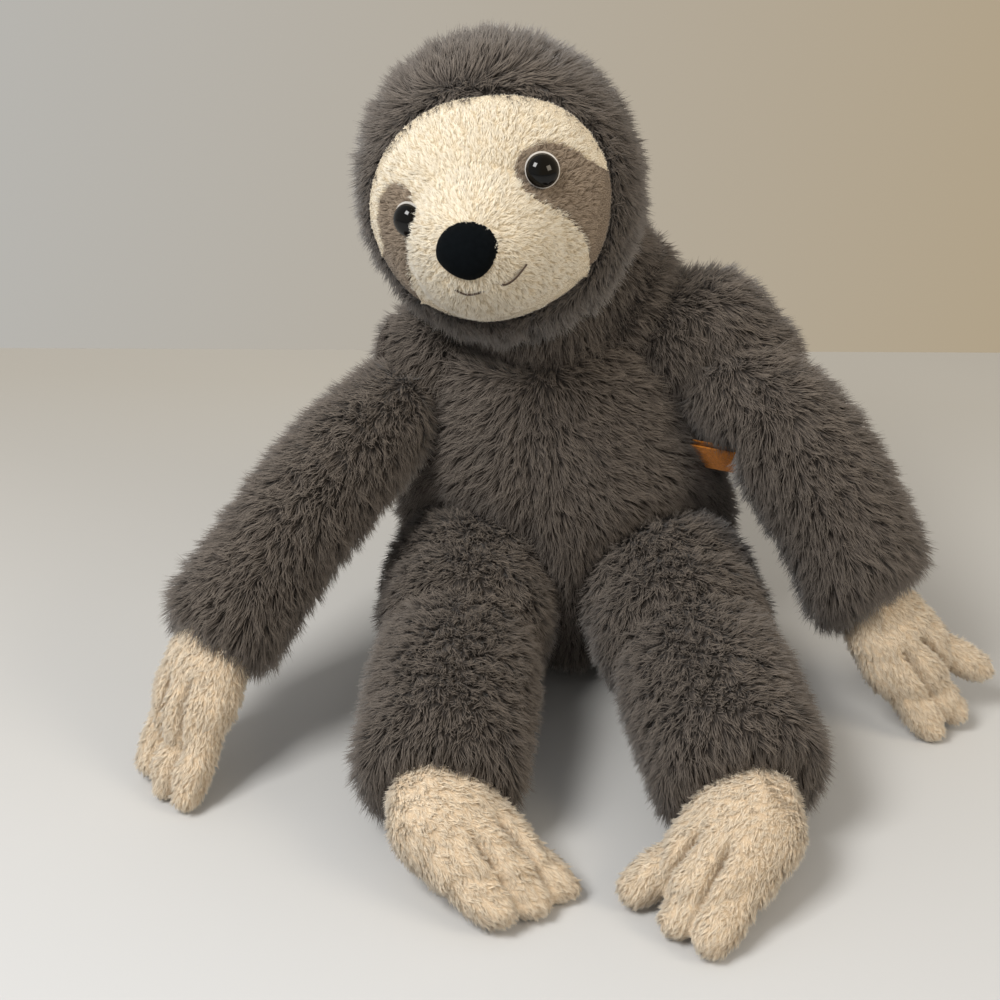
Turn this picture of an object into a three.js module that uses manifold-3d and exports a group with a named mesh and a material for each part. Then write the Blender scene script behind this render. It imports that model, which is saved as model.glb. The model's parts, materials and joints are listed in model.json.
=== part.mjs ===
// A sitting plush sloth: sewn covers over stuffed fillings, in millimetres.
// +Z is up, the face looks towards -Y, and the origin is on the floor under the seat.
import * as THREE from "three";
import { ConvexGeometry } from "three/addons/geometries/ConvexGeometry.js";
import { mergeVertices } from "three/addons/utils/BufferGeometryUtils.js";
import Module from "manifold-3d";

const wasm = await Module();
wasm.setup();

// Colours, as the photograph shows them
const colours = {
  fur: 0x5a504a,
  cream: 0xe4d6be,
  taupe: 0x8c7d6c,
  paw: 0xcdb99b,
  filling: 0xf1efea,
  beans: 0xd8d4cc,
  gloss: 0x0b0908,
  noseCloth: 0x141211,
  ring: 0xd9d2c8,
  washer: 0xc9c6c0,
  label: 0xb5651d,
  thread: 0x3a332e
};

// Fits and walls
const gap = 0.3; // between any two pieces
const furWall = 3; // backing and the pile pressed down on it
const clothWall = 1.5; // short pile cloth of the face, hands and feet
const floorCut = 0.5; // depth of the flat where a form rests
const overrun = 20; // how far a cutting solid runs past what it cuts

// Torso
const torsoHeight = 188;
const torsoHalfWidth = 82;
const torsoHalfDepth = 61;
const torsoTopShiftX = -18; // the toy leans to its right
const torsoTopShiftY = 6;
const torsoBaseShiftX = 3;
const torsoOutlineShares = [
  [0, 0],
  [0.44, 0],
  [0.74, 0.04],
  [0.93, 0.14],
  [1, 0.3],
  [0.965, 0.46],
  [0.88, 0.6],
  [0.77, 0.74],
  [0.62, 0.86],
  [0.4, 0.95],
  [0.18, 0.99],
  [0, 1]
];
const neckHoleRadius = 20;

// Nape, the back of the shoulders behind the head
const napeRadius = 40;
const napeAside = 24; // towards the toy's left of the neck
const napeBack = 12;
const napeRise = 14;

// Seat bean bag
const beanBagHalfWidth = 48;
const beanBagHalfDepth = 34;
const beanBagHalfHeight = 14;
const beanBagSinkShare = 0.7; // how much of its lower half is left above its flat base

// Side label, a folded strip in the left side seam
const labelWidth = 15;
const labelLength = 23;
const labelThick = 0.8;
const labelFold = 2; // inside gap of the loop
const labelRoom = 3.4; // that the arm leaves all round it
const labelHeight = 113;
const labelTurn = 20; // degrees forward of the side
const labelTilt = 28; // degrees from upright
const labelOutShare = 0.84; // of the torso's halves, where the loop leaves it

// Neck joint
const neckRadius = 30;
const neckDropShare = 0.86; // share of the torso's height
const seamWall = 0.9; // turned-in edge and its ladder stitch
const seamInnerAngle = 25; // degrees from the joint's own line
const seamOuterAngle = 39;
const headNodRange = [-12, 10]; // degrees that the torso leaves room for
const headTurnRange = [-25, 25];

// Head
const headHalfWidth = 62;
const headHalfDepth = 62;
const headHalfHeight = 67;
const headForward = 12; // its centre ahead of the neck
const headAside = 18; // towards the toy's right
const headRise = 69; // its centre above the neck
const headYaw = -8;
const headPitch = -13;
const headRoll = -17;

// Face
const faceHalfWidth = 51;
const faceHalfHeight = 46;
const faceDropShare = 0.12;
const faceInset = 1.5; // face cloth under the hood's surface
const faceDepthStart = 8; // how far behind the head's centre plane the face opening stops
const muzzleHalfWidth = 32;
const muzzleHalfDepth = 35;
const muzzleHalfHeight = 33;
const muzzleBack = 20; // its centre behind the head's front
const muzzleForward = headHalfDepth - muzzleBack;
const muzzleDrop = 18;

// Eyes, their backing rings and washers
const eyeRadius = 6.75;
const eyeDome = 5;
const eyeSpread = 27.5;
const eyeAside = 2; // the pair's middle, towards the toy's left
const eyeUneven = 3; // the left one up and the right one down
const dentRadius = 10.4; // what the eye's pull leaves in the snout's flank
const dentHeight = 16;
const shankRadius = 1.8;
const ringRadius = 7.7;
const ringThick = 0.7;
const washerRadius = 6.5;
const washerThick = 1.6;
const shankPast = 4; // shank beyond its washer
const eyeSag = 0.4; // room under flat discs on the rounded face
const washerSag = 1.5; // and behind it
const eyeSteps = 3;

// Eye patches
const patchThick = 0.8;
const patchHalfLength = 21;
const patchHalfWidth = 14;
const patchOut = 10; // its centre outside the eye
const patchDrop = 4; // and below it
const patchTilt = 32;

// Nose and mouth
const noseHalfWidth = 12.2;
const noseHalfHeight = 11.8;
const noseHalfDepth = 9;
const noseAside = 2; // towards the toy's right
const noseAhead = 31; // of the muzzle's centre
const noseForward = muzzleForward + noseAhead;
const noseDrop = 20;
const noseWall = 1;
const mouthHalfWidth = 19;
const mouthDrop = 37;
const mouthRise = 9;
const threadRadius = 0.6;
const threadSides = 3;
const mouthSteps = 4;

// Arms
const armLiftRange = { left: [0, 40], right: [0, 12] }; // degrees that the torso leaves room for
const armSwingRange = [-10, 42];
const armFullRadius = 30;
const shoulderRadius = 31;
const armOutlineShares = [
  [0.78, 0],
  [0.84, 0.14],
  [0.97, 0.34],
  [1, 0.55],
  [0.97, 0.78],
  [0.93, 0.92]
];
const armSpecs = {
  left: { sideShare: 0.78, backShare: 0.12, heightShare: 0.83, reach: 153, heading: 53, endHeight: 55, bow: 18, thickShare: 1, seamHeading: 90 },
  right: { sideShare: -0.6, backShare: 0.06, heightShare: 0.755, reach: 170, heading: -36, endHeight: 58, bow: 10, thickShare: 0.9, seamHeading: -90 }
};

// Hands
const wristRadius = 16;
const armCuffBack = 8; // the cuff ends this far short of the wrist's centre
const handHalfWidth = 20;
const handHalfThick = 12;
const handHalfLength = 25;
const fingerRadius = 8;
const fingerOutlineShares = [
  [0, 0],
  [0.75, 0.06],
  [1, 0.28],
  [0.98, 0.6],
  [0.84, 0.86],
  [0.5, 0.97],
  [0, 1]
];
const fingerPitch = 12.5;
const handSpecs = {
  left: { length: 66, heading: 77, roll: 40, tipShare: 0.5 },
  right: { length: 70, heading: -29, roll: 8, tipShare: 0.05 }
};
const fingerShares = {
  left: [
    { at: -1, spread: 1, long: 0.95 },
    { at: 0, spread: 5, long: 1.02 },
    { at: 1, spread: 25, long: 0.95 }
  ],
  right: [
    { at: -1, spread: -3, long: 0.86 },
    { at: 0, spread: 0, long: 1 },
    { at: 1, spread: 2, long: 1 }
  ]
};

// Legs
const legSpreadRange = { left: [-5, 25], right: [-5, 25] };
const legLiftRange = [-20, 40];
const legFullRadius = 38;
const hipRadius = 39;
const legOutlineShares = [
  [0.78, 0],
  [0.86, 0.2],
  [0.96, 0.42],
  [1, 0.6],
  [0.98, 0.8],
  [0.92, 0.93]
];
const legSpecs = {
  left: { sideShare: 0.62, backShare: -0.68, heightShare: 0.265, reach: 134, heading: 15, endHeight: 30, bow: 2, thickShare: 1, seamHeading: 15 },
  right: { sideShare: -0.49, backShare: -0.68, heightShare: 0.265, reach: 136, heading: -1, endHeight: 29, bow: 2, thickShare: 0.97, seamHeading: -15 }
};

// Feet
const ankleRadius = 19;
const legCuffBack = 13;
const footHalfWidth = 25;
const footHalfThick = 17;
const footHalfLength = 27;
const toeRadius = 9.5;
const toePitch = 14;
const footSpecs = {
  left: { length: 61, heading: -38, roll: 0, tipShare: 0.46 },
  right: { length: 61, heading: 56, roll: 0, tipShare: 0.46 }
};
const toeShares = {
  left: [
    { at: -1, spread: -18, long: 0.97 },
    { at: 0, spread: 0, long: 1 },
    { at: 1, spread: 3, long: 0.98 }
  ],
  right: [
    { at: -1, spread: 0, long: 0.98 },
    { at: 0, spread: 0, long: 1 },
    { at: 1, spread: 2, long: 0.9 }
  ]
};

// How finely the forms are cut
const torsoSides = 18;
const torsoRings = 10;
const headSides = 18;
const headRings = 9;
const ballSides = 12;
const ballRings = 7;
const knuckleSides = 16;
const knuckleRings = 4;
const limbSides = 12;
const limbRings = 7;
const pawSides = 6;
const smallSides = 10;
const dentSides = 6;
const fingerRings = 4;
const seamSides = 16;
const seamEaseShare = 0.99; // a band's corners miss the socket's facets, so it may sit closer
const outReachSteps = 2; // poses at which a limb's room is cut
const upReachSteps = 4;
const reachSides = 10;
const reachRings = 7;
const reachShare = 1.075; // lets a coarse solid hold the head's own form
const palmSides = 8;
const palmRings = 4;
const endRoundShare = 0.82; // of the cuff's radius, at the rounded end
const pawMouthShare = 0.8; // of the wrist ball, its opening towards the limb

const sides = ["left", "right"];
const radians = THREE.MathUtils.degToRad;
const part = new THREE.Group();
part.name = "plush_sloth";

// Solids

function toSolid(geometry) {
  geometry.deleteAttribute("normal");
  geometry.deleteAttribute("uv");
  const merged = mergeVertices(geometry, 1e-4);
  const index = merged.index.array;
  const kept = [];
  for (let i = 0; i < index.length; i += 3) {
    const [a, b, c] = [index[i], index[i + 1], index[i + 2]];
    if (a !== b && b !== c && c !== a) {
      kept.push(a, b, c);
    }
  }
  const mesh = new wasm.Mesh({
    numProp: 3,
    vertProperties: new Float32Array(merged.attributes.position.array),
    triVerts: new Uint32Array(kept)
  });
  return new wasm.Manifold(mesh);
}

function addNode(name, solid, colour) {
  const mesh = solid.getMesh();
  const geometry = new THREE.BufferGeometry();
  geometry.setAttribute("position", new THREE.BufferAttribute(mesh.vertProperties, 3));
  geometry.setIndex(new THREE.BufferAttribute(mesh.triVerts, 1));
  geometry.computeVertexNormals();
  const node = new THREE.Mesh(geometry, new THREE.MeshStandardMaterial({ color: colour }));
  node.name = name;
  part.add(node);
}

function ball(radius, centre) {
  const geometry = new THREE.SphereGeometry(radius, ballSides, ballRings);
  geometry.translate(...centre);
  return toSolid(geometry);
}

// The radius of a faceted socket in which a faceted ball of this radius turns freely
function socketFor(radius) {
  return (radius + gap) / (Math.cos(Math.PI / ballSides) * Math.cos(Math.PI / ballRings / 2));
}

// A ball whose facets run round a hinge's line, and the radius of the cup that it turns in
function knuckle(radius, centre, axis) {
  const geometry = new THREE.SphereGeometry(radius, knuckleSides, knuckleRings);
  const turn = new THREE.Quaternion().setFromUnitVectors(new THREE.Vector3(0, 1, 0), axis);
  geometry.applyQuaternion(turn);
  geometry.translate(...centre);
  return toSolid(geometry);
}

function cupFor(radius) {
  return (radius + gap) / Math.cos(Math.PI / knuckleSides);
}

function ellipsoid(halves, centre, across, down) {
  const geometry = new THREE.SphereGeometry(1, across, down);
  geometry.rotateX(Math.PI / 2);
  geometry.scale(...halves);
  geometry.translate(...centre);
  return toSolid(geometry);
}

// A round form along +Z: an outline of radius and height, closed on its axis
function turned(outline, count) {
  const geometry = new THREE.LatheGeometry(
    outline.map(([radius, height]) => new THREE.Vector2(radius, height)),
    count
  );
  geometry.rotateX(Math.PI / 2);
  return geometry;
}

// A smooth outline through shares of a radius and a length
function smoothOutline(shares, radius, length, rings) {
  const curve = new THREE.SplineCurve(
    shares.map(([out, along]) => new THREE.Vector2(out * radius, along * length))
  );
  return curve.getPoints(rings).map((point) => [Math.max(point.x, 0), point.y]);
}

function basis(direction, acrossHint) {
  const z = direction.clone().normalize();
  const y = new THREE.Vector3().crossVectors(z, acrossHint).normalize();
  const x = new THREE.Vector3().crossVectors(y, z);
  return new THREE.Matrix4().makeBasis(x, y, z);
}

function moved(geometry, matrix) {
  geometry.applyMatrix4(matrix);
  return toSolid(geometry);
}

function joined(solids) {
  return solids.reduce((all, one) => all.add(one));
}

function underFloor(height) {
  const reach = torsoHeight * 4;
  const box = new THREE.BoxGeometry(reach, reach, overrun);
  box.translate(0, 0, height - overrun / 2);
  return toSolid(box);
}

// Places that several pieces share

function rootOf(spec) {
  const lean = spec.heightShare * spec.heightShare;
  return new THREE.Vector3(
    spec.sideShare * torsoHalfWidth + torsoTopShiftX * lean,
    spec.backShare * torsoHalfDepth + torsoTopShiftY * lean,
    spec.heightShare * torsoHeight
  );
}

function headed(degrees, flat, drop) {
  const turn = radians(degrees);
  return new THREE.Vector3(Math.sin(turn) * flat, -Math.cos(turn) * flat, -drop);
}

function endOf(spec) {
  const root = rootOf(spec);
  const drop = root.z - spec.endHeight;
  return root.add(headed(spec.heading, Math.sqrt(spec.reach ** 2 - drop ** 2), drop));
}

function neckPlace() {
  const lean = neckDropShare * neckDropShare;
  return new THREE.Vector3(torsoTopShiftX * lean, torsoTopShiftY * lean, neckDropShare * torsoHeight);
}

const headMatrix = new THREE.Matrix4()
  .makeRotationZ(radians(headYaw))
  .multiply(new THREE.Matrix4().makeRotationX(radians(headPitch)))
  .multiply(new THREE.Matrix4().makeRotationY(radians(headRoll)))
  .setPosition(neckPlace().add(new THREE.Vector3(-headAside, -headForward, headRise)));

// Torso

function torsoGeometry(inset) {
  const wide = torsoHalfWidth - inset;
  const tall = torsoHeight - inset * 2;
  const outline = smoothOutline(torsoOutlineShares, wide, tall, torsoRings);
  outline[0][0] = 0;
  outline[outline.length - 1][0] = 0;
  const geometry = turned(outline, torsoSides);
  const deep = (torsoHalfDepth - inset) / wide;
  const place = geometry.attributes.position;
  for (let i = 0; i < place.count; i += 1) {
    const lean = (place.getZ(i) / tall) ** 2;
    place.setX(i, place.getX(i) + torsoBaseShiftX + (torsoTopShiftX - torsoBaseShiftX) * lean);
    place.setY(i, place.getY(i) * deep + torsoTopShiftY * lean);
    place.setZ(i, place.getZ(i) + inset - floorCut);
  }
  return geometry;
}

// Everywhere the head can be, as one convex solid
function headReach(extra) {
  const points = [];
  const geometry = new THREE.SphereGeometry(reachShare, reachSides, reachRings);
  geometry.scale(headHalfWidth + extra, headHalfDepth + extra, headHalfHeight + extra);
  geometry.applyMatrix4(headMatrix);
  const neck = neckPlace();
  const place = geometry.attributes.position;
  for (const nod of [headNodRange[0], 0, headNodRange[1]]) {
    for (const turn of [headTurnRange[0], 0, headTurnRange[1]]) {
      const pose = new THREE.Matrix4()
        .makeRotationX(radians(nod))
        .multiply(new THREE.Matrix4().makeRotationZ(radians(turn)));
      for (let i = 0; i < place.count; i += 1) {
        const point = new THREE.Vector3().fromBufferAttribute(place, i);
        points.push(point.sub(neck).applyMatrix4(pose).add(neck));
      }
    }
  }
  return toSolid(new ConvexGeometry(points));
}

function torsoSolid(inset) {
  const shoulders = sides.map((side) => ball(shoulderRadius - inset, rootOf(armSpecs[side])));
  const hips = sides.map((side) => ball(hipRadius - inset, rootOf(legSpecs[side])));
  const [x, y, z] = neckPlace();
  const nape = ball(napeRadius - inset, [x + napeAside, y + napeBack, z + napeRise]);
  const body = joined([toSolid(torsoGeometry(inset)), nape, ...shoulders, ...hips]).subtract(headReach(gap + inset));
  return body.add(ball(neckRadius - inset, neckPlace())).subtract(underFloor(inset));
}

function neckHole() {
  const drill = new THREE.CylinderGeometry(neckHoleRadius, neckHoleRadius, neckRadius * 2, smallSides);
  drill.rotateX(Math.PI / 2);
  drill.translate(...neckPlace().add(new THREE.Vector3(0, 0, neckRadius)));
  return toSolid(drill);
}

function beanBag(extra, centre) {
  const halves = [beanBagHalfWidth, beanBagHalfDepth, beanBagHalfHeight].map((half) => half + extra);
  return ellipsoid(halves, centre, limbSides, limbRings);
}

function buildTorso() {
  const cover = torsoSolid(0).subtract(torsoSolid(furWall)).subtract(neckHole());
  addNode("torso_cover", cover, colours.fur);
  const bagFloor = furWall + gap;
  const bagPlace = [torsoBaseShiftX, 0, bagFloor + beanBagHalfHeight * beanBagSinkShare];
  const filling = torsoSolid(furWall + gap).subtract(beanBag(gap, bagPlace));
  addNode("torso_filling", filling, colours.filling);
  addNode("seat_bean_bag", beanBag(0, bagPlace).subtract(underFloor(bagFloor)), colours.beans);
}

// The inner radius of a faceted seam band that clears a ball of this radius
function seamNear(radius) {
  const halfSpan = radians(seamOuterAngle - seamInnerAngle) / 2;
  return (radius + gap) / (Math.cos(Math.PI / seamSides) * Math.cos(halfSpan));
}

// The radius of a faceted socket that clears the band on a ball of this radius
function seamSocket(radius) {
  return socketFor(seamNear(radius) + seamWall) * seamEaseShare;
}

// A band round a ball of this radius, between two angles from a direction
function seamBand(centre, direction, radius) {
  const near = seamNear(radius);
  const at = (angle, far) => [Math.sin(radians(angle)) * far, Math.cos(radians(angle)) * far];
  const outline = [
    at(seamInnerAngle, near),
    at(seamOuterAngle, near),
    at(seamOuterAngle, near + seamWall),
    at(seamInnerAngle, near + seamWall),
    at(seamInnerAngle, near)
  ];
  const matrix = basis(direction, new THREE.Vector3(0, 1, 0)).setPosition(centre);
  return moved(turned(outline, seamSides), matrix);
}

function buildNeckSeam() {
  const neck = neckPlace();
  const up = new THREE.Vector3().setFromMatrixPosition(headMatrix).sub(neck);
  addNode("neck_seam", seamBand(neck, up, neckRadius), colours.thread);
}

// Head

function inHead(geometry) {
  return moved(geometry, headMatrix);
}

function headForm(inset) {
  const geometry = new THREE.SphereGeometry(1, headSides, headRings);
  geometry.scale(headHalfWidth - inset, headHalfDepth - inset, headHalfHeight - inset);
  return inHead(geometry);
}

function faceForm(inset) {
  const dome = new THREE.SphereGeometry(1, headSides, headRings);
  const under = faceInset + inset;
  dome.scale(headHalfWidth - under, headHalfDepth - under, headHalfHeight - under);
  const muzzle = new THREE.SphereGeometry(1, limbSides, limbRings);
  muzzle.scale(muzzleHalfWidth - inset, muzzleHalfDepth - inset, muzzleHalfHeight - inset);
  muzzle.translate(0, -muzzleForward, -muzzleDrop);
  const dentOutline = plugOutline(dentRadius + inset, -inset, dentHeight);
  const dents = joined(sides.map((side) => atEye(side, dentOutline, dentSides)));
  return inHead(dome).add(inHead(muzzle).subtract(dents));
}

// The oval bar, along the face's own line of sight, that the hood leaves open
function faceBar(extra) {
  const long = headHalfDepth * 2;
  const bar = new THREE.CylinderGeometry(1, 1, long, headSides);
  bar.scale(faceHalfWidth + extra, 1, faceHalfHeight + extra);
  bar.translate(0, faceDepthStart + extra - long / 2, -faceDropShare * headHalfHeight);
  return inHead(bar);
}

// The face's front at a place across and up it: the point and the way it looks
function onDome(x, z) {
  const dome = [headHalfWidth, headHalfDepth, headHalfHeight].map((half) => half - faceInset);
  const y = -dome[1] * Math.sqrt(1 - (x / dome[0]) ** 2 - (z / dome[2]) ** 2);
  const way = new THREE.Vector3(x / dome[0] ** 2, y / dome[1] ** 2, z / dome[2] ** 2);
  return { point: new THREE.Vector3(x, y, z), way: way.normalize() };
}

// A point this far off the snout's front
function onMuzzle(x, z, lift) {
  const muzzle = [muzzleHalfWidth, muzzleHalfDepth, muzzleHalfHeight].map((half) => half + lift);
  const rest = 1 - (x / muzzle[0]) ** 2 - ((z + muzzleDrop) / muzzle[2]) ** 2;
  return new THREE.Vector3(x, -muzzleForward - muzzle[1] * Math.sqrt(rest), z);
}

function eyePlace(side) {
  const way = side === "left" ? 1 : -1;
  return [eyeAside + eyeSpread * way, eyeUneven * way];
}

// A turned piece standing on the face where an eye is, its own height counted from the face cloth
function atEye(side, outline, count = smallSides) {
  const { point, way } = onDome(...eyePlace(side));
  const matrix = basis(way, new THREE.Vector3(1, 0, 0)).setPosition(point);
  const geometry = turned(outline, count);
  geometry.applyMatrix4(matrix);
  return inHead(geometry);
}

function ringOutline(inner, outer, low, high) {
  return [
    [inner, low],
    [outer, low],
    [outer, high],
    [inner, high],
    [inner, low]
  ];
}

function plugOutline(radius, low, high) {
  return [
    [0, low],
    [radius, low],
    [radius, high],
    [0, high]
  ];
}

const patchTop = gap + patchThick;
const ringBase = patchTop + gap + eyeSag;
const eyeBase = ringBase + ringThick + gap;
const washerTop = -clothWall - gap - washerSag;
const shankEnd = washerTop - washerThick - shankPast;

function eyeOutline() {
  const outline = [
    [0, shankEnd],
    [shankRadius, shankEnd],
    [shankRadius, eyeBase]
  ];
  for (let i = 0; i <= eyeSteps; i += 1) {
    const angle = ((Math.PI / 2) * i) / eyeSteps;
    outline.push([eyeRadius * Math.cos(angle), eyeBase + eyeDome * Math.sin(angle)]);
  }
  outline[outline.length - 1][0] = 0;
  return outline;
}

function buildEyes() {
  for (const side of sides) {
    addNode(`eye_${side}`, atEye(side, eyeOutline()), colours.gloss);
    const hole = shankRadius + gap;
    const ring = atEye(side, ringOutline(hole, ringRadius, ringBase, ringBase + ringThick));
    addNode(`eye_ring_${side}`, ring, colours.ring);
    const washer = atEye(side, ringOutline(hole, washerRadius, washerTop - washerThick, washerTop));
    addNode(`eye_washer_${side}`, washer, colours.washer);
  }
}

function shankHole(side) {
  return atEye(side, plugOutline(shankRadius + gap, shankEnd, eyeBase));
}

function washerPocket(side) {
  const pocket = atEye(side, plugOutline(washerRadius + gap, washerTop - washerThick - gap, eyeBase));
  return pocket.add(atEye(side, plugOutline(shankRadius + gap, shankEnd - gap, eyeBase)));
}

function buildPatches() {
  const layer = faceForm(-patchTop).subtract(faceForm(-gap));
  for (const side of sides) {
    const way = side === "left" ? 1 : -1;
    const bar = new THREE.CylinderGeometry(1, 1, headHalfDepth * 2, smallSides);
    bar.scale(patchHalfLength, 1, patchHalfWidth);
    bar.translate(0, -headHalfDepth, 0);
    bar.rotateY(radians(patchTilt) * way);
    const [x, z] = eyePlace(side);
    bar.translate(x + patchOut * way, 0, z - patchDrop);
    const patch = layer.intersect(inHead(bar)).intersect(faceBar(-gap)).subtract(shankHole(side));
    addNode(`eye_patch_${side}`, patch, colours.taupe);
  }
}

function noseForm(inset) {
  const nose = new THREE.SphereGeometry(1, palmSides, palmRings);
  nose.scale(noseHalfWidth - inset, noseHalfDepth - inset, noseHalfHeight - inset);
  nose.translate(-noseAside, -noseForward, -noseDrop);
  return inHead(nose);
}

function buildNose() {
  const seat = faceForm(-gap);
  addNode("nose_cover", noseForm(0).subtract(noseForm(noseWall)).subtract(seat), colours.noseCloth);
  addNode("nose_filling", noseForm(noseWall + gap).subtract(seat), colours.filling);
}

function buildMouth() {
  const points = [];
  for (let i = -mouthSteps; i <= mouthSteps; i += 1) {
    const share = i / mouthSteps;
    const x = share * mouthHalfWidth;
    points.push(onMuzzle(x, -mouthDrop + mouthRise * share ** 2, gap));
  }
  const round = new THREE.Shape().absarc(0, 0, threadRadius, 0, Math.PI * 2);
  const geometry = new THREE.ExtrudeGeometry(round, {
    steps: mouthSteps * 2,
    curveSegments: threadSides,
    extrudePath: new THREE.CatmullRomCurve3(points)
  });
  addNode("mouth_stitch", inHead(geometry).subtract(faceForm(-gap)), colours.thread);
}

function buildHead() {
  const socket = ball(seamSocket(neckRadius), neckPlace());
  const cover = headForm(0).subtract(headForm(furWall)).subtract(faceBar(gap)).subtract(socket);
  addNode("head_cover", cover, colours.fur);
  const holes = joined(sides.map(shankHole));
  const panel = faceForm(0).subtract(faceForm(clothWall)).intersect(faceBar(0)).subtract(holes);
  addNode("face_panel", panel, colours.cream);
  const behind = headForm(furWall + gap);
  const front = faceForm(clothWall + gap);
  const filling = behind
    .subtract(faceBar(gap * 2))
    .add(front.intersect(faceBar(-gap)))
    .add(behind.intersect(front))
    .subtract(socket)
    .subtract(joined(sides.map(washerPocket)));
  addNode("head_filling", filling, colours.filling);
  buildPatches();
  buildEyes();
  buildNose();
  buildMouth();
}

// Arms and legs

const armSizes = {
  full: armFullRadius,
  shares: armOutlineShares,
  ball: shoulderRadius,
  tip: wristRadius,
  cuffBack: armCuffBack,
  outAxis: new THREE.Vector3(0, -1, 0),
  outRange: armLiftRange,
  upRange: armSwingRange
};
const legSizes = {
  full: legFullRadius,
  shares: legOutlineShares,
  ball: hipRadius,
  tip: ankleRadius,
  cuffBack: legCuffBack,
  outAxis: new THREE.Vector3(0, 0, 1),
  outRange: legSpreadRange,
  upRange: legLiftRange
};

// The torso and its label as the limb meets them, over the whole of its two joints' ranges
function bodyReach(side, spec, sizes) {
  const root = rootOf(spec);
  const outAxis = sizes.outAxis.clone().multiplyScalar(side === "left" ? 1 : -1);
  const upAxis = new THREE.Vector3(-1, 0, 0);
  const outSteps = spread(sizes.outRange[side], outReachSteps);
  const upSteps = spread(sizes.upRange, upReachSteps);
  const solids = [];
  for (const out of outSteps) {
    for (const up of upSteps) {
      const pose = new THREE.Matrix4()
        .makeTranslation(...root)
        .multiply(new THREE.Matrix4().makeRotationAxis(upAxis, -radians(up)))
        .multiply(new THREE.Matrix4().makeRotationAxis(outAxis, -radians(out)))
        .multiply(new THREE.Matrix4().makeTranslation(...root.clone().negate()));
      solids.push(moved(torsoGeometry(-gap), pose));
      if (side === "left") {
        solids.push(moved(labelGeometry(labelThick, labelRoom), pose));
      }
    }
  }
  return joined(solids);
}

// Evenly spread values from one end of a range to the other, with rest among them
function spread([low, high], steps) {
  const values = [0];
  for (let i = 0; i <= steps; i += 1) {
    values.push(low + ((high - low) * i) / steps);
  }
  return values;
}

function limbForm(spec, sizes, inset) {
  const root = rootOf(spec);
  const way = endOf(spec).sub(root);
  const long = spec.reach - sizes.cuffBack;
  const shares = smoothOutline(sizes.shares, sizes.full * spec.thickShare, long, limbRings);
  const outline = shares.map(([radius, along]) => [radius - inset, along]);
  const last = outline[outline.length - 1];
  outline.unshift([0, 0]);
  outline.push([last[0] * endRoundShare, long - inset], [0, long - inset]);
  const geometry = turned(outline, limbSides);
  const place = geometry.attributes.position;
  for (let i = 0; i < place.count; i += 1) {
    const share = place.getZ(i) / spec.reach;
    place.setY(i, place.getY(i) + spec.bow * Math.sin(Math.PI * share));
  }
  const across = headed(spec.heading + 90, 1, 0);
  return moved(geometry, basis(way, across).setPosition(root)).subtract(underFloor(inset));
}

function buildLimb(name, side, spec, sizes) {
  const root = rootOf(spec);
  const end = endOf(spec);
  const socket = ball(seamSocket(sizes.ball), root);
  const cup = knuckle(cupFor(sizes.tip), end, headed(spec.heading + 90, 1, 0));
  const body = bodyReach(side, spec, sizes);
  const trim = (solid) => solid.subtract(socket).subtract(cup).subtract(body);
  const cover = limbForm(spec, sizes, 0).subtract(limbForm(spec, sizes, furWall));
  addNode(`${name}_cover_${side}`, trim(cover), colours.fur);
  addNode(`${name}_filling_${side}`, trim(limbForm(spec, sizes, furWall + gap)), colours.filling);
  const outward = headed(spec.seamHeading, 1, 0);
  addNode(`${name}_seam_${side}`, seamBand(root, outward, sizes.ball), colours.thread);
}

// Hands and feet

const handSizes = {
  tip: wristRadius,
  wide: handHalfWidth,
  thick: handHalfThick,
  long: handHalfLength,
  finger: fingerRadius,
  pitch: fingerPitch
};
const footSizes = {
  tip: ankleRadius,
  wide: footHalfWidth,
  thick: footHalfThick,
  long: footHalfLength,
  finger: toeRadius,
  pitch: toePitch
};

function pawForm(limb, spec, fingers, sizes, inset) {
  const end = endOf(limb);
  const drop = end.z - sizes.finger * spec.tipShare + floorCut;
  const way = headed(spec.heading, Math.sqrt(spec.length ** 2 - drop ** 2), drop);
  const across = headed(spec.heading + 90, 1, 0).applyAxisAngle(
    way.clone().normalize(),
    radians(spec.roll)
  );
  const matrix = basis(way, across).setPosition(end);
  const palm = new THREE.SphereGeometry(1, palmSides, palmRings);
  palm.scale(sizes.wide - inset, sizes.thick - inset, sizes.long - inset);
  palm.translate(0, 0, sizes.long);
  const hinge = headed(limb.heading + 90, 1, 0);
  const solids = [knuckle(sizes.tip - inset, end, hinge), moved(palm, matrix)];
  for (const finger of fingers) {
    const long = (spec.length - sizes.long) * finger.long;
    const shares = smoothOutline(fingerOutlineShares, sizes.finger - inset, long - inset * 2, fingerRings);
    shares[0][0] = 0;
    shares[shares.length - 1][0] = 0;
    const geometry = turned(shares, pawSides);
    geometry.translate(0, 0, inset);
    geometry.rotateY(radians(finger.spread));
    geometry.translate(finger.at * sizes.pitch, 0, sizes.long);
    solids.push(moved(geometry, matrix));
  }
  return joined(solids).subtract(underFloor(inset));
}

function buildPaw(name, side, limb, spec, fingers, sizes) {
  const form = (inset) => pawForm(limb, spec, fingers, sizes, inset);
  const mouth = ball(sizes.tip * pawMouthShare, rootSide(limb, sizes.tip));
  addNode(`${name}_cover_${side}`, form(0).subtract(form(clothWall)).subtract(mouth), colours.paw);
  addNode(`${name}_filling_${side}`, form(clothWall + gap), colours.filling);
}

// Where a limb's line leaves a ball of this radius at its end, on the limb's side
function rootSide(limb, radius) {
  const end = endOf(limb);
  const back = rootOf(limb).sub(end).setLength(radius);
  return end.add(back);
}

// Side label

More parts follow.
